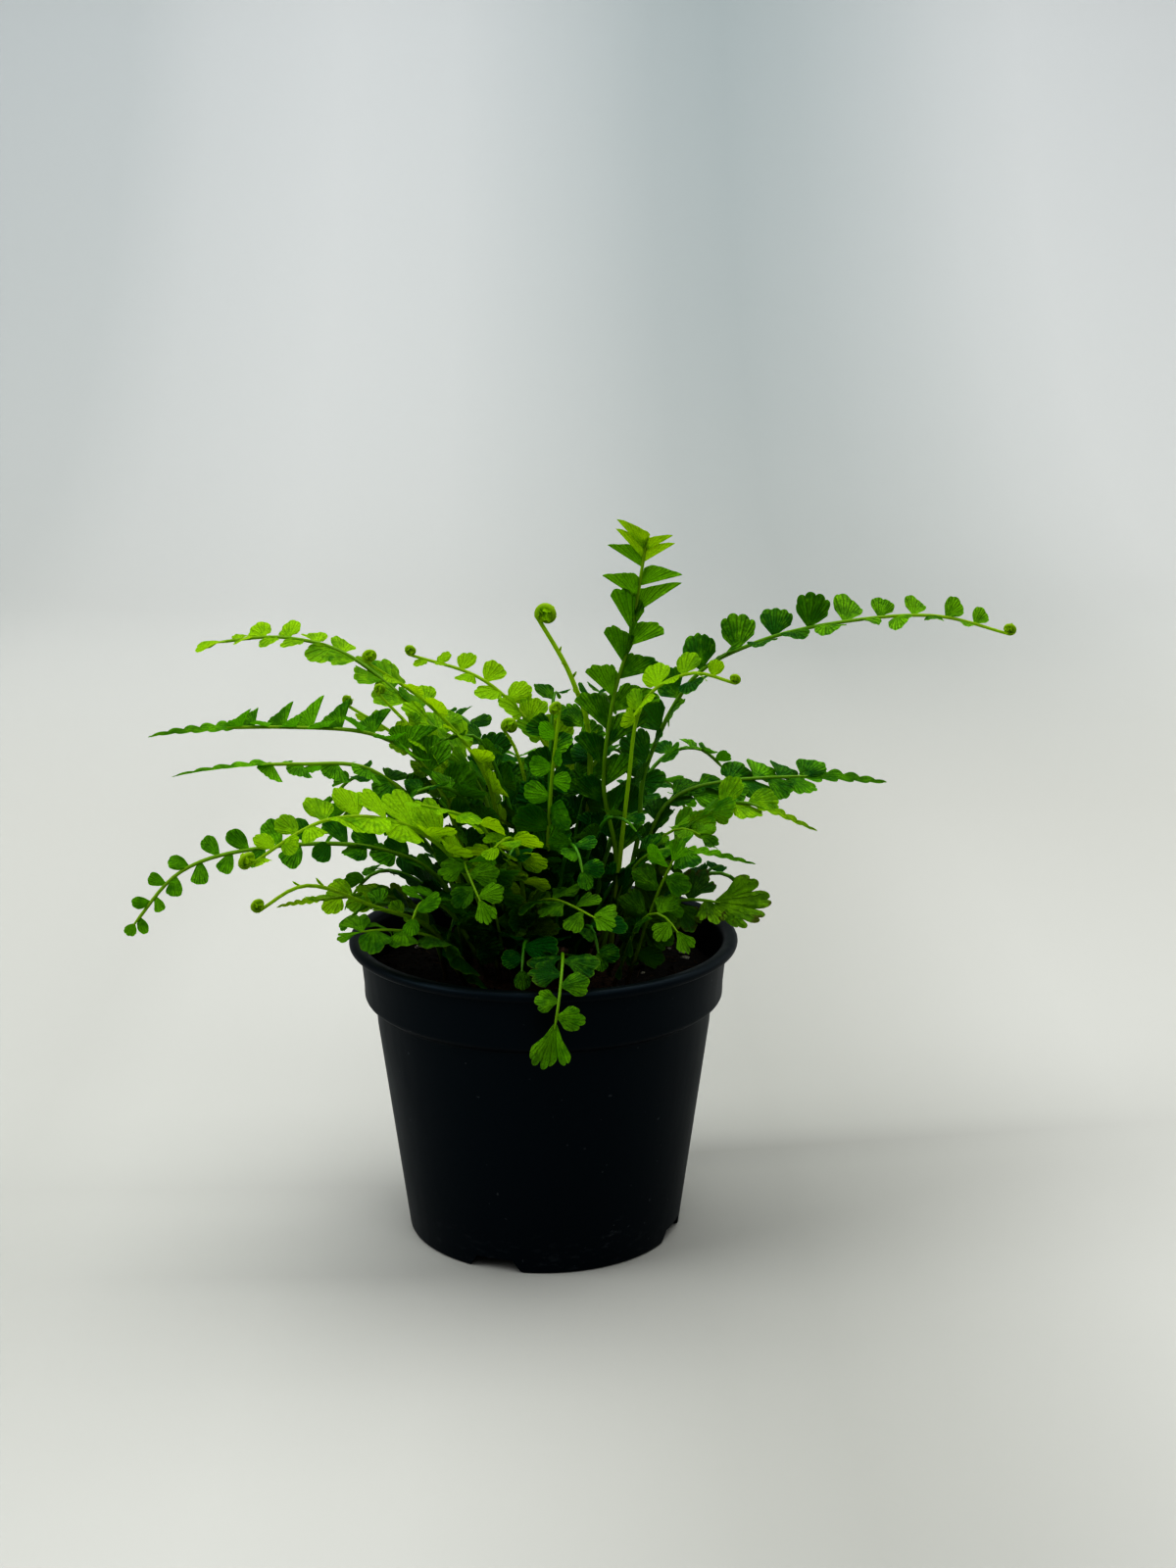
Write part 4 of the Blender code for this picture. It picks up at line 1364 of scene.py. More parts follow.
@dataclass
class Grower:
    """Builds every frond: its stalk, its rolled or leafy tip, and its leaflets.

    Lengths are in millimetres and angles in degrees. Youth runs from 0, deep green, to 1, lime; leaflets low
    and deep in the clump have theirs lowered, which paints shade on them.
    """

    nursery: Nursery
    leaf_finishes: dict[str, bpy.types.Material]
    stalk_finish: bpy.types.Material
    soil: float = 62.0
    crown_top: float = 64.0
    crown_radius: float = 18.2
    soil_dome: float = 0.6
    root_lift: float = 0.8
    root_depth: float = 3.0
    root_swell: float = 1.15
    stalk_radius: float = 0.62
    tip_radius: float = 0.34
    tip_narrowing: float = 0.6
    station: float = 2.2
    least_stations: int = 8
    least_youth: float = 0.1
    browned: float = 14.0
    freshened: float = 48.0
    freshened_share: float = 0.3
    # Painted shade on leaflets low and deep in the clump: a height and a span in millimetres, a reach in
    # spans, a strength.
    lit_above: float = 112.0
    painted_shade_span: float = 45.0
    painted_shade_reach: float = 1.4
    painted_shade_strength: float = 0.6
    stagger: float = 0.21
    first_size: float = 0.78
    size_gain: float = 0.9
    spacing_taper: float = 0.6
    least_spacing: float = 0.42
    bare_tip: float = 3.0
    bare_coil: float = 5.0
    last_size: float = 1.05
    last_bare: float = 0.7
    last_clear: float = 0.72
    last_seat: float = 0.8
    last_youth: float = 0.6
    coil_turns: float = 1.7
    coil_steps: int = 30
    coil_closing: float = 0.78
    coil_girth: tuple[float, float] = (0.32, 0.12)
    bud_stations: tuple[int, int, int] = (1, 28, 4)
    bud_fold: float = 40.0
    bud_yaw: float = 15.0
    bud_size: float = 0.95

    def grow(self, frond: Frond, slot: str) -> bpy.types.Object:
        """Builds one frond as one piece.

        Args:
            frond: the frond's plan.
            slot: the record's slot, which also picks its finish.

        Returns:
            The finished piece.
        """
        draw = random.Random(frond.name)
        route = Route((self._root(*frond.root), *frond.route))
        stalk = painted(self._stalk(frond, route), self.stalk_finish)
        age = UNROLLING if frond.crosier else UNROLLED
        youth = min(age.share * frond.youth + self.least_youth, 1.0)
        mark(stalk, tone=0.5, youth=youth, foot=0.0)
        foot = self._nearness(stalk, route.line[0], self.browned)
        reach = min(self.freshened, self.freshened_share * route.length)
        fresh = [min(youth + age.tip * near, 1.0) for near in self._nearness(stalk, route.line[-1], reach)]
        stalk.data.attributes["foot"].data.foreach_set("value", foot)
        stalk.data.attributes["youth"].data.foreach_set("value", fresh)
        finish = OWN_FINISHES.get(frond.leafing, slot)
        leaves = [painted(leaf, self.leaf_finishes[finish]) for leaf in self._leaflets(frond, route, draw)]
        # Packed bud leaflets take the lighter bud finish, partly painted light against the coil's shade.
        if frond.crosier:
            finish = "bud"
        elif frond.leafing is TALL:
            finish = "leaf_young"
        leaves += [painted(leaf, self.leaf_finishes[finish]) for leaf in self._tip(frond, route, draw)]
        return join([stalk, *leaves], f"{frond.name}_leaves")

    @staticmethod
    def _nearness(stalk: bpy.types.Object, spot: Vector, reach: float) -> list[float]:
        """How near each of a stalk's points is to a spot, in millimetres: 1 at the spot, 0 at the reach."""
        return [max(0.0, 1.0 - (vertex.co / MM - spot).length / reach) for vertex in stalk.data.vertices]

    def _painted_shade(self, place: Vector) -> float:
        """How deep inside the clump a place is, which sets the shade painted on leaflets there.

        Args:
            place: the place in metres.

        Returns:
            0 where it is open, 1 in the middle near the soil.
        """
        under = held((self.lit_above - place.z / MM) / self.painted_shade_span)
        inside = held(self.painted_shade_reach - math.hypot(place.x, place.y) / MM / self.painted_shade_span)
        return under * inside

    def _root(self, x: float, y: float) -> Point:
        """Where the CAD stalk starts: just above the crown or, outside it, just above the soil."""
        on_crown = math.hypot(x, y) <= self.crown_radius
        return x, y, (self.crown_top if on_crown else self.soil + self.soil_dome) + self.root_lift

    def _section(self, frond: Frond, route: Route, distance: float) -> Section:
        """The stalk's frame at a distance from its root.

        Args:
            frond: the frond's plan.
            route: its line.
            distance: how far from the root.

        Returns:
            The frame there.
        """
        place, along = route.at(distance)
        part = held((distance - frond.bare) / (route.length - frond.bare))
        roll = math.radians(frond.roll + frond.twist * part)
        if frond.heading is None:
            outward = route.line[-1] - route.line[0]
        else:
            heading = math.radians(frond.heading)
            outward = Vector((math.cos(heading), math.sin(heading), 0.0))
        outward.z = 0.0
        side = outward.cross(UP)
        side = (side - side.dot(along) * along).normalized()
        side = Matrix.Rotation(roll, 3, along) @ side
        return Section(place, along, side, side.cross(along))

    def _coil(self, section: Section, size: float) -> Iterator[Section]:
        """The rolled tip: frames along a spiral that closes towards the upper face.

        Args:
            section: the stalk's frame where the roll starts.
            size: the roll's outer radius.

        Yields:
            The stalk's frames along the roll.
        """
        centre = section.place + section.normal * size
        for step in range(1, self.coil_steps + 1):
            part = step / self.coil_steps
            angle = math.tau * self.coil_turns * part
            reach = size * (1.0 - self.coil_closing * part)
            outward = -section.normal * math.cos(angle) + section.along * math.sin(angle)
            along = section.normal * math.sin(angle) + section.along * math.cos(angle)
            yield Section(centre + outward * reach, along, section.side, -outward)

    def _stalk(self, frond: Frond, route: Route) -> bpy.types.Object:
        """The stipe, the rachis and, on a young frond, the rolled tip, as one tube.

        Args:
            frond: the frond's plan.
            route: its line.

        Returns:
            The stalk.
        """
        line = [route.at(0.0)[0] - UP * self.root_depth]
        radii = [self.stalk_radius * self.root_swell * frond.girth]
        end = min(route.length - frond.crosier, route.length - self.last_bare * self._last(frond))
        count = max(int(end / self.station), self.least_stations)
        for step in range(count + 1):
            distance = end * step / count
            line.append(route.at(distance)[0])
            part = distance / route.length
            radii.append((self.stalk_radius + (self.tip_radius - self.stalk_radius) * part) * frond.girth)
        if frond.crosier:
            start = self._section(frond, route, end)
            coil = list(self._coil(start, frond.crosier))
            line += [section.place for section in coil]
            wide, narrowing = self.coil_girth
            radii += [frond.crosier * (wide - narrowing * step / len(coil)) for step in range(len(coil))]
        else:
            radii[-1] *= self.tip_narrowing
        return tube(f"{frond.name}_stalk", line, radii, 2)

    def _seats(self, frond: Frond, route: Route) -> Iterator[tuple[float, float]]:
        """The seats of the pairs of leaflets.

        Args:
            frond: the frond's plan.
            route: its line.

        Yields:
            (distance along the stalk, share of the leafy stretch) of each pair.
        """
        end = route.length - (self.bare_coil if frond.crosier else self.bare_tip)
        distance = frond.bare
        while distance < end:
            part = (distance - frond.bare) / (end - frond.bare)
            yield distance, part
            spread = self._full(part) * self._tapered(part, self.spacing_taper)
            distance += frond.leafing.spacing * (self.least_spacing + (1.0 - self.least_spacing) * spread)

    def _full(self, part: float) -> float:
        """The share of full size that leaflets grow to by a part of the leafy stretch."""
        return min(self.first_size + self.size_gain * part, 1.0)

    @staticmethod
    def _tapered(part: float, taper: float) -> float:
        """The share of full size that a taper leaves at a part of the leafy stretch."""
        return 1.0 - taper * part**1.7

    def _last(self, frond: Frond) -> float:
        """The length of the leaflet that ends a frond.

        Args:
            frond: the frond's plan.

        Returns:
            Its length in millimetres, or 0 where none does.
        """
        if frond.crosier or frond.leafing.tip is LeafKind.SPIKE:
            return 0.0
        return frond.end or frond.leafing.length * (self.last_size - frond.leafing.taper)

    def _leaflets(self, frond: Frond, route: Route, draw: random.Random) -> Iterator[bpy.types.Object]:
        """The pairs of leaflets along the stalk.

        Args:
            frond: the frond's plan.
            route: its line.
            draw: the frond's own random numbers.

        Yields:
            Each leaflet in place.
        """
        leafing = frond.leafing
        fold = leafing.fold if frond.fold is None else frond.fold
        clear = route.length - self._last(frond) * self.last_clear
        for distance, part in self._seats(frond, route):
            size = frond.scale * leafing.length * self._full(part) * self._tapered(part, leafing.taper)
            kind = leafing.high if part >= leafing.change else leafing.low
            for hand in (-1, 1):
                seat = distance - hand * self.stagger * leafing.spacing + draw.uniform(-0.5, 0.5)
                placed = self._section(frond, route, seat).leaf_matrix(
                    hand, fold + draw.gauss(0.0, 9.0), draw.gauss(0.0, 7.0) + leafing.lean + frond.lean,
                    draw.gauss(0.0, 11.0), size * draw.uniform(0.84, 1.08),
                )
                youth = min(frond.youth + 0.7 * part**1.4, 1.0)
                # Painted shade: leaflets low and deep in the clump are pushed towards deep green.
                youth -= self.painted_shade_strength * self._painted_shade(placed.translation)
                tone, variant = draw.random(), draw.randrange(self.nursery.variants)
                if seat < clear:
                    yield self.nursery.leaflet(kind, variant, hand, placed, tone=tone, youth=youth)

    def _tip(self, frond: Frond, route: Route, draw: random.Random) -> Iterator[bpy.types.Object]:
        """The leaflet that ends a frond, or the tiny ones packed in a rolled tip.

        Args:
            frond: the frond's plan.
            route: its line.
            draw: the frond's own random numbers.

        Yields:
            Each leaflet in place.
        """
        youth = min(frond.youth + self.last_youth, 1.0)
        if frond.crosier:
            yield from self._packed(frond, route, draw, youth)
            return
        if frond.leafing.tip is LeafKind.SPIKE:
            for back, hand, size in SPIKES:
                section = self._section(frond, route, route.length - back)
                placed = section.leaf_matrix(hand, 10.0, 4.0, draw.gauss(0.0, 5.0), size)
                yield self.nursery.leaflet(LeafKind.SPIKE, 1, hand, placed, tone=draw.random(), youth=youth)
            return
        size = self._last(frond)
        section = self._section(frond, route, route.length - self.last_seat * size)
        ahead = Matrix((section.along, -section.side, section.normal)).transposed().to_4x4()
        turn = Matrix.Rotation(math.radians(draw.gauss(0.0, 6.0)), 4, "X")
        placed = Matrix.Translation(section.place * MM) @ ahead @ turn @ Matrix.Scale(size * MM, 4)
        yield self.nursery.leaflet(frond.leafing.tip, 0, 1, placed, tone=draw.random(), youth=youth)

    def _packed(
        self, frond: Frond, route: Route, draw: random.Random, youth: float
    ) -> Iterator[bpy.types.Object]:
        """The tiny leaflets packed round a rolled tip.

        Args:
            frond: the frond's plan.
            route: its line.
            draw: the frond's own random numbers.
            youth: how lime they are.

        Yields:
            Each leaflet in place.
        """
        start = self._section(frond, route, route.length - frond.crosier)
        size = self.bud_size * frond.crosier
        for section in list(self._coil(start, frond.crosier))[slice(*self.bud_stations)]:
            for hand in (-1, 1):
                placed = section.leaf_matrix(hand, self.bud_fold, self.bud_yaw, draw.gauss(0.0, 14.0), size)
                variant, tone = draw.randrange(self.nursery.variants), draw.uniform(0.8, 1.0)
                yield self.nursery.leaflet(LeafKind.OVAL, variant, hand, placed, tone=tone, youth=youth)


# ---------------------------------------------------------------- pot


@dataclass
class Pot:
    """The tapered pot: floor with a raised channel, thin wall, collar and rolled rim.

    Lengths are in millimetres, and first_notch is an azimuth in degrees.
    """

    finish: bpy.types.Material
    steps: int = 144
    rim_radius: float = 45.0
    rim_height: float = 71.0
    bead: float = 1.2
    collar_top: float = 42.4
    collar_foot: float = 41.6
    collar_height: float = 57.2
    shoulder: float = 1.6
    body_top: float = 39.0
    body_height: float = 54.6
    step_radius: float = 0.5
    foot: float = 31.9
    foot_radius: float = 0.9
    wall: float = 1.1
    floor: float = 1.2
    channel_outer: float = 29.4
    channel_inner: float = 23.6
    channel_height: float = 2.5
    draft: float = 0.6
    notch: tuple[float, float] = (14.0, 3.1)
    notch_narrowing: float = 0.62
    first_notch: float = 249.0
    notches: int = 4
    drain: tuple[float, float] = (7.0, 2.6)

    def _inside(self) -> list[tuple[float, float]]:
        """The outline from the middle of the floor up the inside to the rim.

        Returns:
            (radius, height) points.
        """
        inner = self.channel_inner - self.wall
        raised = self.channel_height + self.floor
        return [
            (0.0, self.floor), (inner - self.draft, self.floor), (inner, raised),
            (self.foot - self.wall + 0.4, raised),
            (self.body_top - self.wall, self.body_height + 0.6),
            (self.collar_foot - self.wall, self.collar_height + 0.8),
            (self.collar_top - self.wall, self.rim_height - 2.0),
            (self.collar_top - 0.7, self.rim_height - 0.7),
            (self.collar_top, self.rim_height - 0.15),
        ]

    def _outside(self) -> list[tuple[float, float]]:
        """The outline over the rolled rim and down the outside to the foot.

        Returns:
            (radius, height) points.
        """
        under = self.rim_height - 2 * self.bead
        return [
            *arc((self.rim_radius - self.bead, self.rim_height - self.bead), self.bead, 90.0, -90.0, 12),
            (self.collar_top + 0.5, under - 0.05), (self.collar_top, under - 0.5),
            (self.collar_top - 0.2, under - 3.0), (self.collar_foot + 0.05, self.collar_height + 3.0),
            *arc((self.collar_foot - self.shoulder, self.collar_height + 0.6), self.shoulder, 0.0, -62.0, 6),
            *arc((self.body_top + 0.5, self.body_height + 0.4), self.step_radius, 120.0, 180.0, 3),
            (self.body_top - 0.3, self.body_height - 4.0),
            *arc((self.foot - 0.8, self.foot_radius), self.foot_radius, 0.0, -80.0, 4),
        ]

    def _underside(self) -> list[tuple[float, float]]:
        """The outline along the underside, through the raised channel, to the middle.

        Returns:
            (radius, height) points.
        """
        return [
            (self.channel_outer, 0.0), (self.channel_outer, self.channel_height),
            (self.channel_inner, self.channel_height), (self.channel_inner - self.draft, 0.0), (0.0, 0.0),
        ]

    def build(self) -> None:
        """Turns the pot and cuts its foot."""
        pot = turned("pot_shell", [*self._inside(), *self._outside(), *self._underside()], self.steps)
        for index in range(self.notches):
            for cutter in self._cutters(index):
                select(pot)
                cut = pot.modifiers.new("foot", "BOOLEAN")
                cut.operation = "DIFFERENCE"
                cut.solver = "EXACT"
                cut.object = cutter
                bpy.ops.object.modifier_apply(modifier=cut.name)
                discard(cutter)
        bpy.ops.object.shade_smooth_by_angle(angle=SMOOTH_UNDER)
        stand_in(painted(pot, self.finish), "pot_plastic", "pot")

    def _cutters(self, index: int) -> Iterator[bpy.types.Object]:
        """The blocks that cut one foot notch, narrower at its top, and the drain behind it.

        Args:
            index: which notch.

        Yields:
            Each block, turned to its place.
        """
        azimuth = math.radians(self.first_notch + index * 360.0 / self.notches)
        depth = self.foot - self.channel_outer + 3.0
        width, height = self.notch
        drain_width, drain_depth = self.drain
        through_foot = 0.5 * (self.foot + self.channel_outer) + 0.6
        in_channel = self.channel_outer - 0.6 - 0.5 * drain_depth
        blocks = (
            ((depth, width, height + 1.0), through_foot, 0.5 * height - 0.5, self.notch_narrowing),
            ((drain_depth, drain_width, 4.0), in_channel, self.channel_height + 0.5, 1.0),
        )
        for size, distance, middle, narrowing in blocks:
            select()
            place = (distance * math.cos(azimuth) * MM, distance * math.sin(azimuth) * MM, middle * MM)
            bpy.ops.mesh.primitive_cube_add(size=MM, location=place, rotation=(0.0, 0.0, azimuth), scale=size)
            block = bpy.context.object
            for vertex in block.data.vertices:
                if vertex.co.z > 0:
                    vertex.co.y *= narrowing
            bpy.ops.object.transform_apply(location=True, rotation=True, scale=True)
            yield block


# ---------------------------------------------------------------- peat and crown


@dataclass
class Peat:
    """The plug of peat: a crumbly top, loose crumbs and fibres, and a few pale grains, in millimetres."""

    finish: bpy.types.Material
    crumb_finish: bpy.types.Material
    fibre_finish: bpy.types.Material
    grain_finish: bpy.types.Material
    top: float = 62.0
    dome: float = 0.6
    radius: float = 40.2
    body_top: float = 37.5
    body_height: float = 55.6
    foot: float = 30.6
    floor: float = 4.0
    centre_floor: float = 1.5
    centre_radius: float = 21.9
    rings: int = 44
    steps: int = 220
    edge_height: float = 58.4
    crumbs: int = 620
    fibres: int = 130
    loose_grains: int = 12
    placed_grains: tuple[tuple[float, float], ...] = (
        (25.0, -16.5), (27.0, -17.4), (-30.0, 16.0), (-8.0, 31.0), (33.0, 11.0), (6.0, -31.5), (-31.0, -12.0)
    )
    relief: tuple[tuple[float, float, float], ...] = ((0.9, 3.0, 0.14), (0.55, 9.0, 0.55), (0.35, 5.0, 1.5))
    fibre_radii: tuple[float, ...] = (0.05, 0.09, 0.11, 0.10, 0.08, 0.04)

    def profile(self) -> list[tuple[float, float]]:
        """The outline over the top, down the side and along the bottom.

        Returns:
            (radius, height) points.
        """
        points = []
        for step in range(self.rings + 1):
            part = step / self.rings
            points.append((part * self.radius, self._domed(part)))
        return points + [
            (self.radius - 0.1, self.edge_height), (self.body_top, self.body_height), (self.foot, self.floor),
            (self.centre_radius, self.floor), (self.centre_radius - 0.6, self.centre_floor),
            (0.0, self.centre_floor),
        ]

    def _domed(self, part: float) -> float:
        """The height of the smooth top at a share of its radius."""
        return self.top + self.dome * (1.0 - 1.6 * part**2)

    def height(self, x: float, y: float) -> float:
        """The height of the rough top at a place, in millimetres.

        Args:
            x: the place to the right.
            y: the place to the back.

        Returns:
            The height.
        """
        smooth = self._domed(math.hypot(x, y) / self.radius)
        rough = (rise * noise.noise(Vector((x, y, cut)) * pace) for rise, cut, pace in self.relief)
        return sum(rough, smooth)

    def build(self) -> None:
        """Turns the plug, roughens its top and strews it."""
        plug = turned("peat_plug", self.profile(), self.steps)
        for vertex in plug.data.vertices:
            x, y, z = vertex.co / MM
            if z > self.top - 1.0:
                vertex.co.z = self.height(x, y) * MM
        stand_in(painted(plug, self.finish), "peat", "soil")
        draw = random.Random("peat")
        lumps = [self._lump("crumb", seed, 0.16) for seed in range(4)]
        crumbs = self._strewn("peat_crumbs", lumps, self._crumb_places(draw))
        stand_in(painted(crumbs, self.crumb_finish), "peat")
        strands = [self._fibre(seed) for seed in range(5)]
        fibres = self._strewn("peat_fibres", strands, self._fibre_places(draw))
        stand_in(painted(fibres, self.fibre_finish), "peat")
        specks = [self._lump("grain", seed, 0.10) for seed in (11, 12)]
        grains = self._strewn("pale_grains", specks, self._grain_places(draw))
        stand_in(painted(grains, self.grain_finish), "peat")

    def _lump(self, name: str, seed: int, rough: float) -> bpy.types.Object:
        """A crumb of a few dozen faces, 1 mm across, to copy.

        Args:
            name: what it is.
            seed: which of its kind.
            rough: how far its points are moved.

        Returns:
            The crumb.
        """
        select()
        bpy.ops.mesh.primitive_uv_sphere_add(
            segments=8, ring_count=5, radius=0.5 * MM, location=(0.0, 0.0, 0.0)
        )
        lump = bpy.context.object
        bpy.ops.object.mode_set(mode="EDIT")
        bpy.ops.mesh.select_all(action="SELECT")
        bpy.ops.transform.vertex_random(offset=rough * MM, uniform=1.0, normal=0.5, seed=seed)
        bpy.ops.object.mode_set(mode="OBJECT")
        lump.name = f"{name}_{seed}"
        return lump

    def _scattered(self, draw: random.Random, least: float = 0.0) -> tuple[float, float]:
        """A random place on the top, at least so far from its middle.

        Args:
            draw: random numbers.
            least: how far at least from its middle.

        Returns:
            The place.
        """
        radius = math.sqrt(draw.uniform(least**2, (self.radius - 1.4) ** 2))
        angle = draw.uniform(0.0, math.tau)
        return radius * math.cos(angle), radius * math.sin(angle)

    def _laid(self, draw: random.Random, at: tuple[float, float], size: Point, sink: float) -> Matrix:
        """A random turn, on the top at a place.

        Args:
            draw: random numbers.
            at: where on the top.
            size: the scale along each axis.
            sink: how far below the top its middle lies.

        Returns:
            The place in metres.
        """
        x, y = at
        turn = Matrix.Rotation(draw.uniform(0.0, math.tau), 4, "Z")
        turn = turn @ Matrix.Rotation(draw.gauss(0.0, 0.35), 4, "X")
        middle = Vector((x, y, self.height(x, y) - sink)) * MM
        return Matrix.Translation(middle) @ turn @ Matrix.Diagonal((*size, 1.0))

    def _strewn(
        self, name: str, masters: Sequence[bpy.types.Object], places: Iterator[Matrix]
    ) -> bpy.types.Object:
        """Copies masters by turns to their places, as one piece.

        Args:
            name: the piece's name.
            masters: what is strewn; they are removed afterwards.
            places: where the copies go.

        Returns:
            The joined piece.
        """
        copies = [copied(masters[index % len(masters)], place) for index, place in enumerate(places)]
        discard(*masters)
        return join(copies, name)

    def _crumb_places(self, draw: random.Random) -> Iterator[Matrix]:
        """Where the loose crumbs lie.

        Args:
            draw: random numbers.

        Yields:
            Each place, with its size.
        """
        for _ in range(self.crumbs):
            size = 0.5 + 1.5 * draw.random() ** 2.5
            shape = (size * draw.uniform(0.8, 1.5), size, size * draw.uniform(0.5, 0.9))
            yield self._laid(draw, self._scattered(draw), shape, 0.1)

    def _fibre_places(self, draw: random.Random) -> Iterator[Matrix]:
        """Where the fibres lie.

        Args:
            draw: random numbers.

        Yields:
            Each place, with its length.
        """
        for _ in range(self.fibres):
            length = draw.uniform(0.35, 1.25)
            yield self._laid(draw, self._scattered(draw, 16.0), (length, 1.0, 1.0), -0.12)

    def _grain_places(self, draw: random.Random) -> Iterator[Matrix]:
        """Where the pale grains lie; the first two are of one size.

        Args:
            draw: random numbers.

        Yields:
            Each place, with its size.
        """
        loose = [self._scattered(draw, 22.0) for _ in range(self.loose_grains)]
        for index, spot in enumerate([*self.placed_grains, *loose]):
            size = draw.uniform(0.7, 1.6) if index > 1 else 1.5
            yield self._laid(draw, spot, (size * 1.6, size * 0.8, size * 0.7), -0.15)

    def _fibre(self, seed: int) -> bpy.types.Object:
        """A thin curved fibre, 6 mm long, to copy.

        Args:
            seed: which of its kind.

        Returns:
            The fibre.
        """
        bend = 0.6 + 0.5 * seed
        line = [
            Vector((3.0 * t, 0.5 * math.sin(bend * 1.7 * t), 0.25 * math.sin(2.0 * t + seed)))
            for t in (-1.0, -0.6, -0.2, 0.2, 0.6, 1.0)
        ]
        return tube(f"fibre_{seed}", line, self.fibre_radii, 0)


@dataclass
class Crown:
    """The low rhizome clump, with brown papery scales standing round the stalks, in millimetres."""

    finish: bpy.types.Material
    scale_finish: bpy.types.Material
    nursery: Nursery
    radius: float = 20.0
    base: float = 62.0
    rise: float = 3.2
    rings: int = 26
    steps: int = 110
    scales: int = 150

    def height(self, x: float, y: float) -> float:
        """The height of the clump at a place, in millimetres.

        Args:
            x: the place to the right.
            y: the place to the back.

        Returns:
            The height.
        """
        part = min(math.hypot(x, y) / self.radius, 1.0)
        lumps = 0.7 * noise.noise(Vector((x, y, 1.0)) * 0.35) + 0.4 * noise.noise(Vector((x, y, 2.0)) * 0.9)
        return self.base + (self.rise + lumps) * math.sqrt(max(1.0 - part**2.5, 0.0))

    def build(self) -> None:
        """Shapes the clump and plants its scales."""
        profile = [(self.radius * step / self.rings, self.base + 1.0) for step in range(self.rings + 1)]
        profile += [(self.radius, self.base - 0.6), (0.0, self.base - 0.6)]
        clump = turned("crown_clump", profile, self.steps)
        for vertex in clump.data.vertices:
            x, y, z = vertex.co / MM
            if z > self.base:
                vertex.co.z = self.height(x, y) * MM
        stand_in(painted(clump, self.finish), "crown", "crown")
        draw = random.Random("crown")
        scales = []
        for index in range(self.scales):
            radius, angle = self.radius * math.sqrt(draw.random()), draw.uniform(0.0, math.tau)
            x, y = radius * math.cos(angle), radius * math.sin(angle)
            place = Vector((x, y, self.height(x, y) - 0.3)) * MM
            tilt = math.radians(draw.uniform(-75.0, -15.0))
            turn = Matrix.Rotation(angle + draw.gauss(0.0, 0.6), 4, "Z") @ Matrix.Rotation(tilt, 4, "Y")
            placed = Matrix.Translation(place) @ turn @ Matrix.Scale(draw.uniform(1.6, 3.4) * MM, 4)
            tone = draw.random()
            scales.append(self.nursery.leaflet(LeafKind.SPEAR, index, 1, placed, tone=tone, youth=0.0))
        stand_in(painted(join(scales, "crown_scales"), self.scale_finish), "crown")


# ---------------------------------------------------------------- stage


@dataclass(frozen=True)
class Lamp:
    """A soft rectangular light, in metres and watts, that faces its target."""

    name: str
    place: Point
    size: tuple[float, float]
    power: float
    color: Color = (1.0, 1.0, 1.0)
    target: Point = (0.0, 0.0, 0.09)

    def hang(self) -> None:
        """Adds the light."""
        bpy.ops.object.light_add(type="AREA", location=self.place)
        lamp = bpy.context.object
        lamp.name = self.name
        lamp.data.shape = "RECTANGLE"
        lamp.data.size, lamp.data.size_y = self.size
        lamp.data.energy = self.power
        lamp.data.color = self.color
        facing = Vector(self.target) - Vector(self.place)
        lamp.rotation_euler = facing.to_track_quat("-Z", "Y").to_euler()


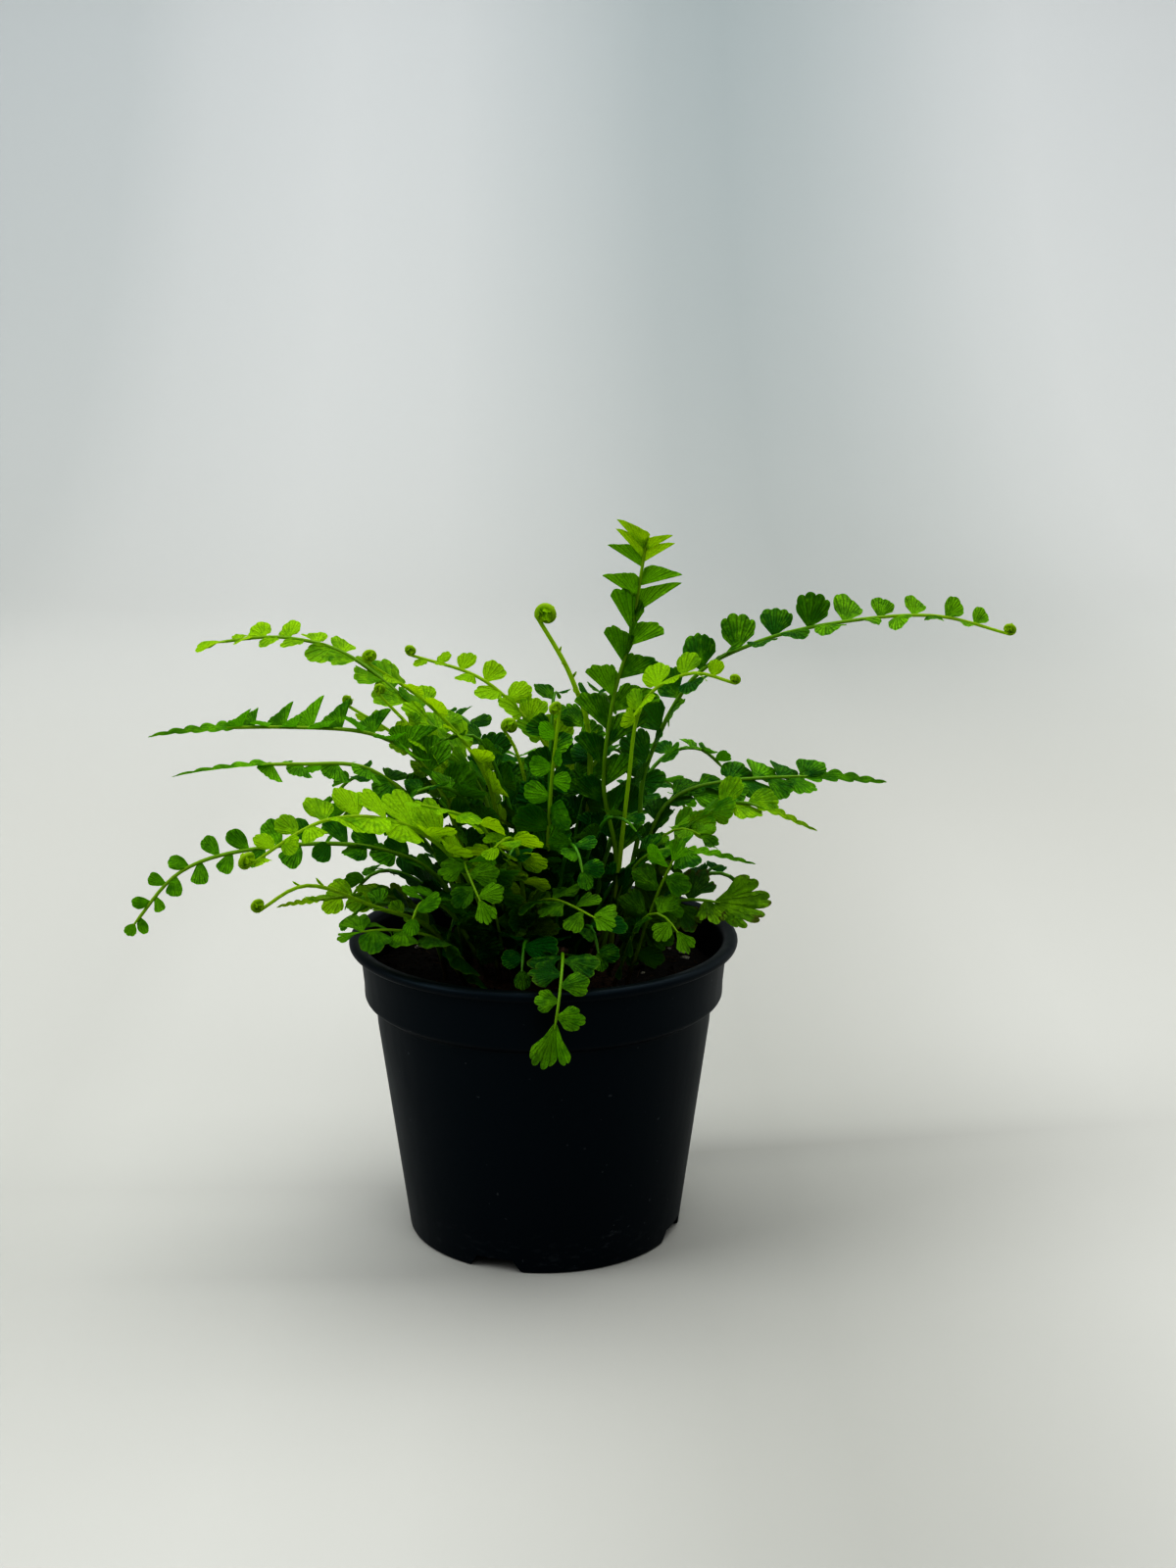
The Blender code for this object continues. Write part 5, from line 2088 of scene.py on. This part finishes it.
@dataclass
class Studio:
    """The pale floor that sweeps up behind, the soft lights and the camera, in metres and degrees."""

    finish: bpy.types.Material
    width: float = 7.0
    back: float = 1.7
    height: float = 3.0
    sweep: float = 0.8
    sweep_steps: int = 24
    lamps: tuple[Lamp, ...] = (
        Lamp("window_right", (1.15, 0.35, 0.75), (1.3, 1.3), 6.0, (1.0, 0.99, 0.97)),
        Lamp("window_left", (-1.1, -0.3, 0.75), (0.8, 0.9), 10.0, (0.98, 0.99, 1.0)),
        Lamp("overhead", (0.0, 0.35, 1.4), (2.0, 1.6), 24.0),
        Lamp("front", (0.3, -1.2, 1.3), (1.4, 0.9), 10.0),
        Lamp("wall", (0.0, 0.7, 1.5), (2.4, 0.6), 4.5, target=(0.0, 1.6, 0.6)),
    )
    sky: Color = (0.96, 0.98, 1.0)
    sky_strength: float = 0.30
    gamma: float = 0.88
    camera_place: Point = (0.0, -0.5229, 0.2332)
    camera_pitch: float = 76.36
    camera_pan: float = -1.13
    lens: float = 54.0
    sensor: float = 36.0

    def build(self) -> None:
        """Sets up the stage."""
        self._backdrop()
        self._lights()
        self._camera()

    def _backdrop(self) -> None:
        """A floor whose back edge is extruded upwards and rounded."""
        select()
        bpy.ops.mesh.primitive_plane_add(size=self.width, location=(0.0, self.back - 0.5 * self.width, 0.0))
        floor = bpy.context.object
        bpy.ops.object.transform_apply(location=True)
        bpy.ops.object.mode_set(mode="EDIT")
        bpy.ops.mesh.select_all(action="DESELECT")
        bpy.ops.object.mode_set(mode="OBJECT")
        for edge in floor.data.edges:
            edge.select = all(floor.data.vertices[i].co.y > self.back - 0.01 for i in edge.vertices)
        bpy.ops.object.mode_set(mode="EDIT")
        bpy.ops.mesh.select_mode(type="EDGE")
        bpy.ops.mesh.extrude_region_move(TRANSFORM_OT_translate={"value": (0.0, 0.0, self.height)})
        bpy.ops.mesh.select_mode(type="VERT")
        bpy.ops.object.mode_set(mode="OBJECT")
        bend = floor.modifiers.new("sweep", "BEVEL")
        bend.width = self.sweep
        bend.segments = self.sweep_steps
        bend.limit_method = "ANGLE"
        bpy.ops.object.modifier_apply(modifier=bend.name)
        bpy.ops.object.shade_smooth()
        floor.name = "floor"
        painted(floor, self.finish)

    def _lights(self) -> None:
        """Soft windows at the sides, large soft lights overhead and in front, and an even sky."""
        for lamp in self.lamps:
            lamp.hang()
        scene = bpy.context.scene
        scene.world = bpy.data.worlds.new("sky")
        scene.world.use_nodes = True
        sky = scene.world.node_tree.nodes["Background"]
        sky.inputs["Color"].default_value = (*self.sky, 1.0)
        sky.inputs["Strength"].default_value = self.sky_strength
        scene.view_settings.view_transform = "Standard"
        scene.view_settings.look = "High Contrast"
        scene.view_settings.gamma = self.gamma

    def _camera(self) -> None:
        """The camera, a little above the rim and looking down at the pot."""
        bpy.ops.object.camera_add(
            location=self.camera_place,
            rotation=(math.radians(self.camera_pitch), 0.0, math.radians(self.camera_pan)),
        )
        camera = bpy.context.object
        camera.data.lens = self.lens
        camera.data.sensor_width = self.sensor
        camera.data.clip_start = 0.01
        bpy.context.scene.camera = camera


# ---------------------------------------------------------------- the fern


LEAF_FINISHES = {
    "leaf_mature": LeafFinish(
        "leaf_mature", (0.001, 0.068, 0.001), (0.17, 0.36, 0.002), (0.12, 0.30, 0.008), (0.14, 0.35, 0.001),
        0.13, 0.40, 0.44,
    ),
    "leaf_mid": LeafFinish(
        "leaf_mid", (0.001, 0.068, 0.001), (0.145, 0.34, 0.002), (0.13, 0.30, 0.008), (0.14, 0.40, 0.002),
        0.13, 0.43, 0.46, veined=0.5,
    ),
    "leaf_young": LeafFinish(
        "leaf_young", (0.024, 0.14, 0.001), (0.25, 0.45, 0.002), (0.22, 0.42, 0.01), (0.38, 0.57, 0.003),
        0.22, 0.48, 0.48, veined=0.35,
    ),
    # Young bud lime, lighter than leaf_young; partly painted light against the shade inside the packed coil.
    "bud": LeafFinish(
        "leaf_bud", (0.13, 0.30, 0.001), (0.36, 0.58, 0.003), (0.30, 0.50, 0.010), (0.50, 0.70, 0.004),
        0.40, 0.55, 0.48, veined=0.2,
    ),
    "lobed": LeafFinish(
        "leaf_lobed", (0.004, 0.055, 0.002), (0.14, 0.30, 0.003), (0.16, 0.28, 0.01), (0.16, 0.46, 0.004),
        0.18, 0.40, 0.48, veined=0.35, brown=0.3,
    ),
    "oaken": LeafFinish(
        "leaf_oaken", (0.007, 0.050, 0.002), (0.17, 0.31, 0.004), (0.18, 0.28, 0.02), (0.20, 0.44, 0.005),
        0.18, 0.40, 0.48, veined=0.4, brown=0.9,
    ),
}
LEAF_SLOTS = {
    **dict.fromkeys((MATURE, SHINGLE, TALL), "leaf_mature"),
    **dict.fromkeys((ROUND, LONG, LOBED, OAKEN, CHAIN, POINTED), "leaf_mid"),
    **dict.fromkeys((YOUNG, BUD, BRACTS), "leaf_young"),
}
OWN_FINISHES = {LOBED: "lobed", OAKEN: "oaken", SHINGLE: "leaf_young"}
YOUNG_FRONDS = {
    "frond_lime_left", "frond_lime_right", "frond_near_lime", "frond_upper_left", "frond_front_bright",
    "frond_over_rim", "frond_row_left", "frond_bright_mid", "frond_low_left", "frond_second_right",
}
STALK = StalkFinish(
    "stalk", (0.030, 0.018, 0.006), (0.050, 0.18, 0.004), (0.34, 0.48, 0.008), (0.36, 0.56, 0.010)
)
PLASTIC = PotFinish(
    "pot_plastic", (0.0016, 0.0030, 0.0050), (0.30, 0.31, 0.32), (0.017, -0.032, 0.007), 0.007, 0.012, 0.44
)
PEAT = EarthFinish("peat", (0.0025, 0.0018, 0.0014), (0.018, 0.011, 0.007), 900.0, 0.0006)
CRUMB = EarthFinish("peat_crumb", (0.003, 0.002, 0.0015), (0.03, 0.017, 0.009), 1200.0, 0.0003)
FIBRE = EarthFinish("fibre", (0.02, 0.010, 0.005), (0.12, 0.07, 0.035), 600.0, 0.0001, 0.8)
GRAIN = EarthFinish("pale_grain", (0.22, 0.20, 0.16), (0.62, 0.60, 0.54), 900.0, 0.0002, 0.85)
CROWN = EarthFinish("crown", (0.008, 0.004, 0.002), (0.06, 0.028, 0.012), 700.0, 0.0005)
SCALE = EarthFinish("crown_scale", (0.03, 0.013, 0.005), (0.13, 0.06, 0.025), 500.0, 0.0001, 0.7)
# Paper with painted light and shade: dim and bright floor and wall colours, and three painted shadow streaks.
PAPER = StageFinish(
    "pale_paper",
    ((0.265, 0.268, 0.250), (0.336, 0.338, 0.320)),
    ((0.300, 0.332, 0.336), (0.442, 0.456, 0.457)),
    (
        ShadowStreak(0.02, 0.19, 0.0325, 0.15, 0.015, 0.11),
        ShadowStreak(-0.015, -0.12, -0.032, 0.0, 0.012, 0.06),
        ShadowStreak(-0.02, -0.16, 0.018, 0.0, 0.017, 0.05),
    ),
)


@dataclass
class PottedFern:
    """The whole object: pot, peat, crown and fronds."""

    nursery: Nursery = field(default_factory=Nursery)

    def build(self) -> None:
        """Builds each sub-assembly in order."""
        self.nursery.raise_all()
        Pot(PLASTIC.material()).build()
        Peat(PEAT.material(), CRUMB.material(), FIBRE.material(), GRAIN.material()).build()
        Crown(CROWN.material(), SCALE.material(), self.nursery).build()
        self._grow_fronds()
        self.nursery.clear()

    def _grow_fronds(self) -> None:
        """Builds the fronds, each in the place of its CAD node."""
        finishes = {name: finish.material() for name, finish in LEAF_FINISHES.items()}
        grower = Grower(self.nursery, finishes, STALK.material())
        for frond in (*FRONDS, *(arch.frond(grower.soil) for arch in ARCHES)):
            slot = "leaf_young" if frond.name in YOUNG_FRONDS else LEAF_SLOTS[frond.leafing]
            stand_in(grower.grow(frond, slot), slot, frond.name)


def main() -> None:
    """Loads the frame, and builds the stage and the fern."""
    logging.basicConfig(level=logging.INFO, format="%(name)s: %(message)s")
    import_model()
    Studio(PAPER.material()).build()
    PottedFern().build()


if __name__ == "__main__":
    main()
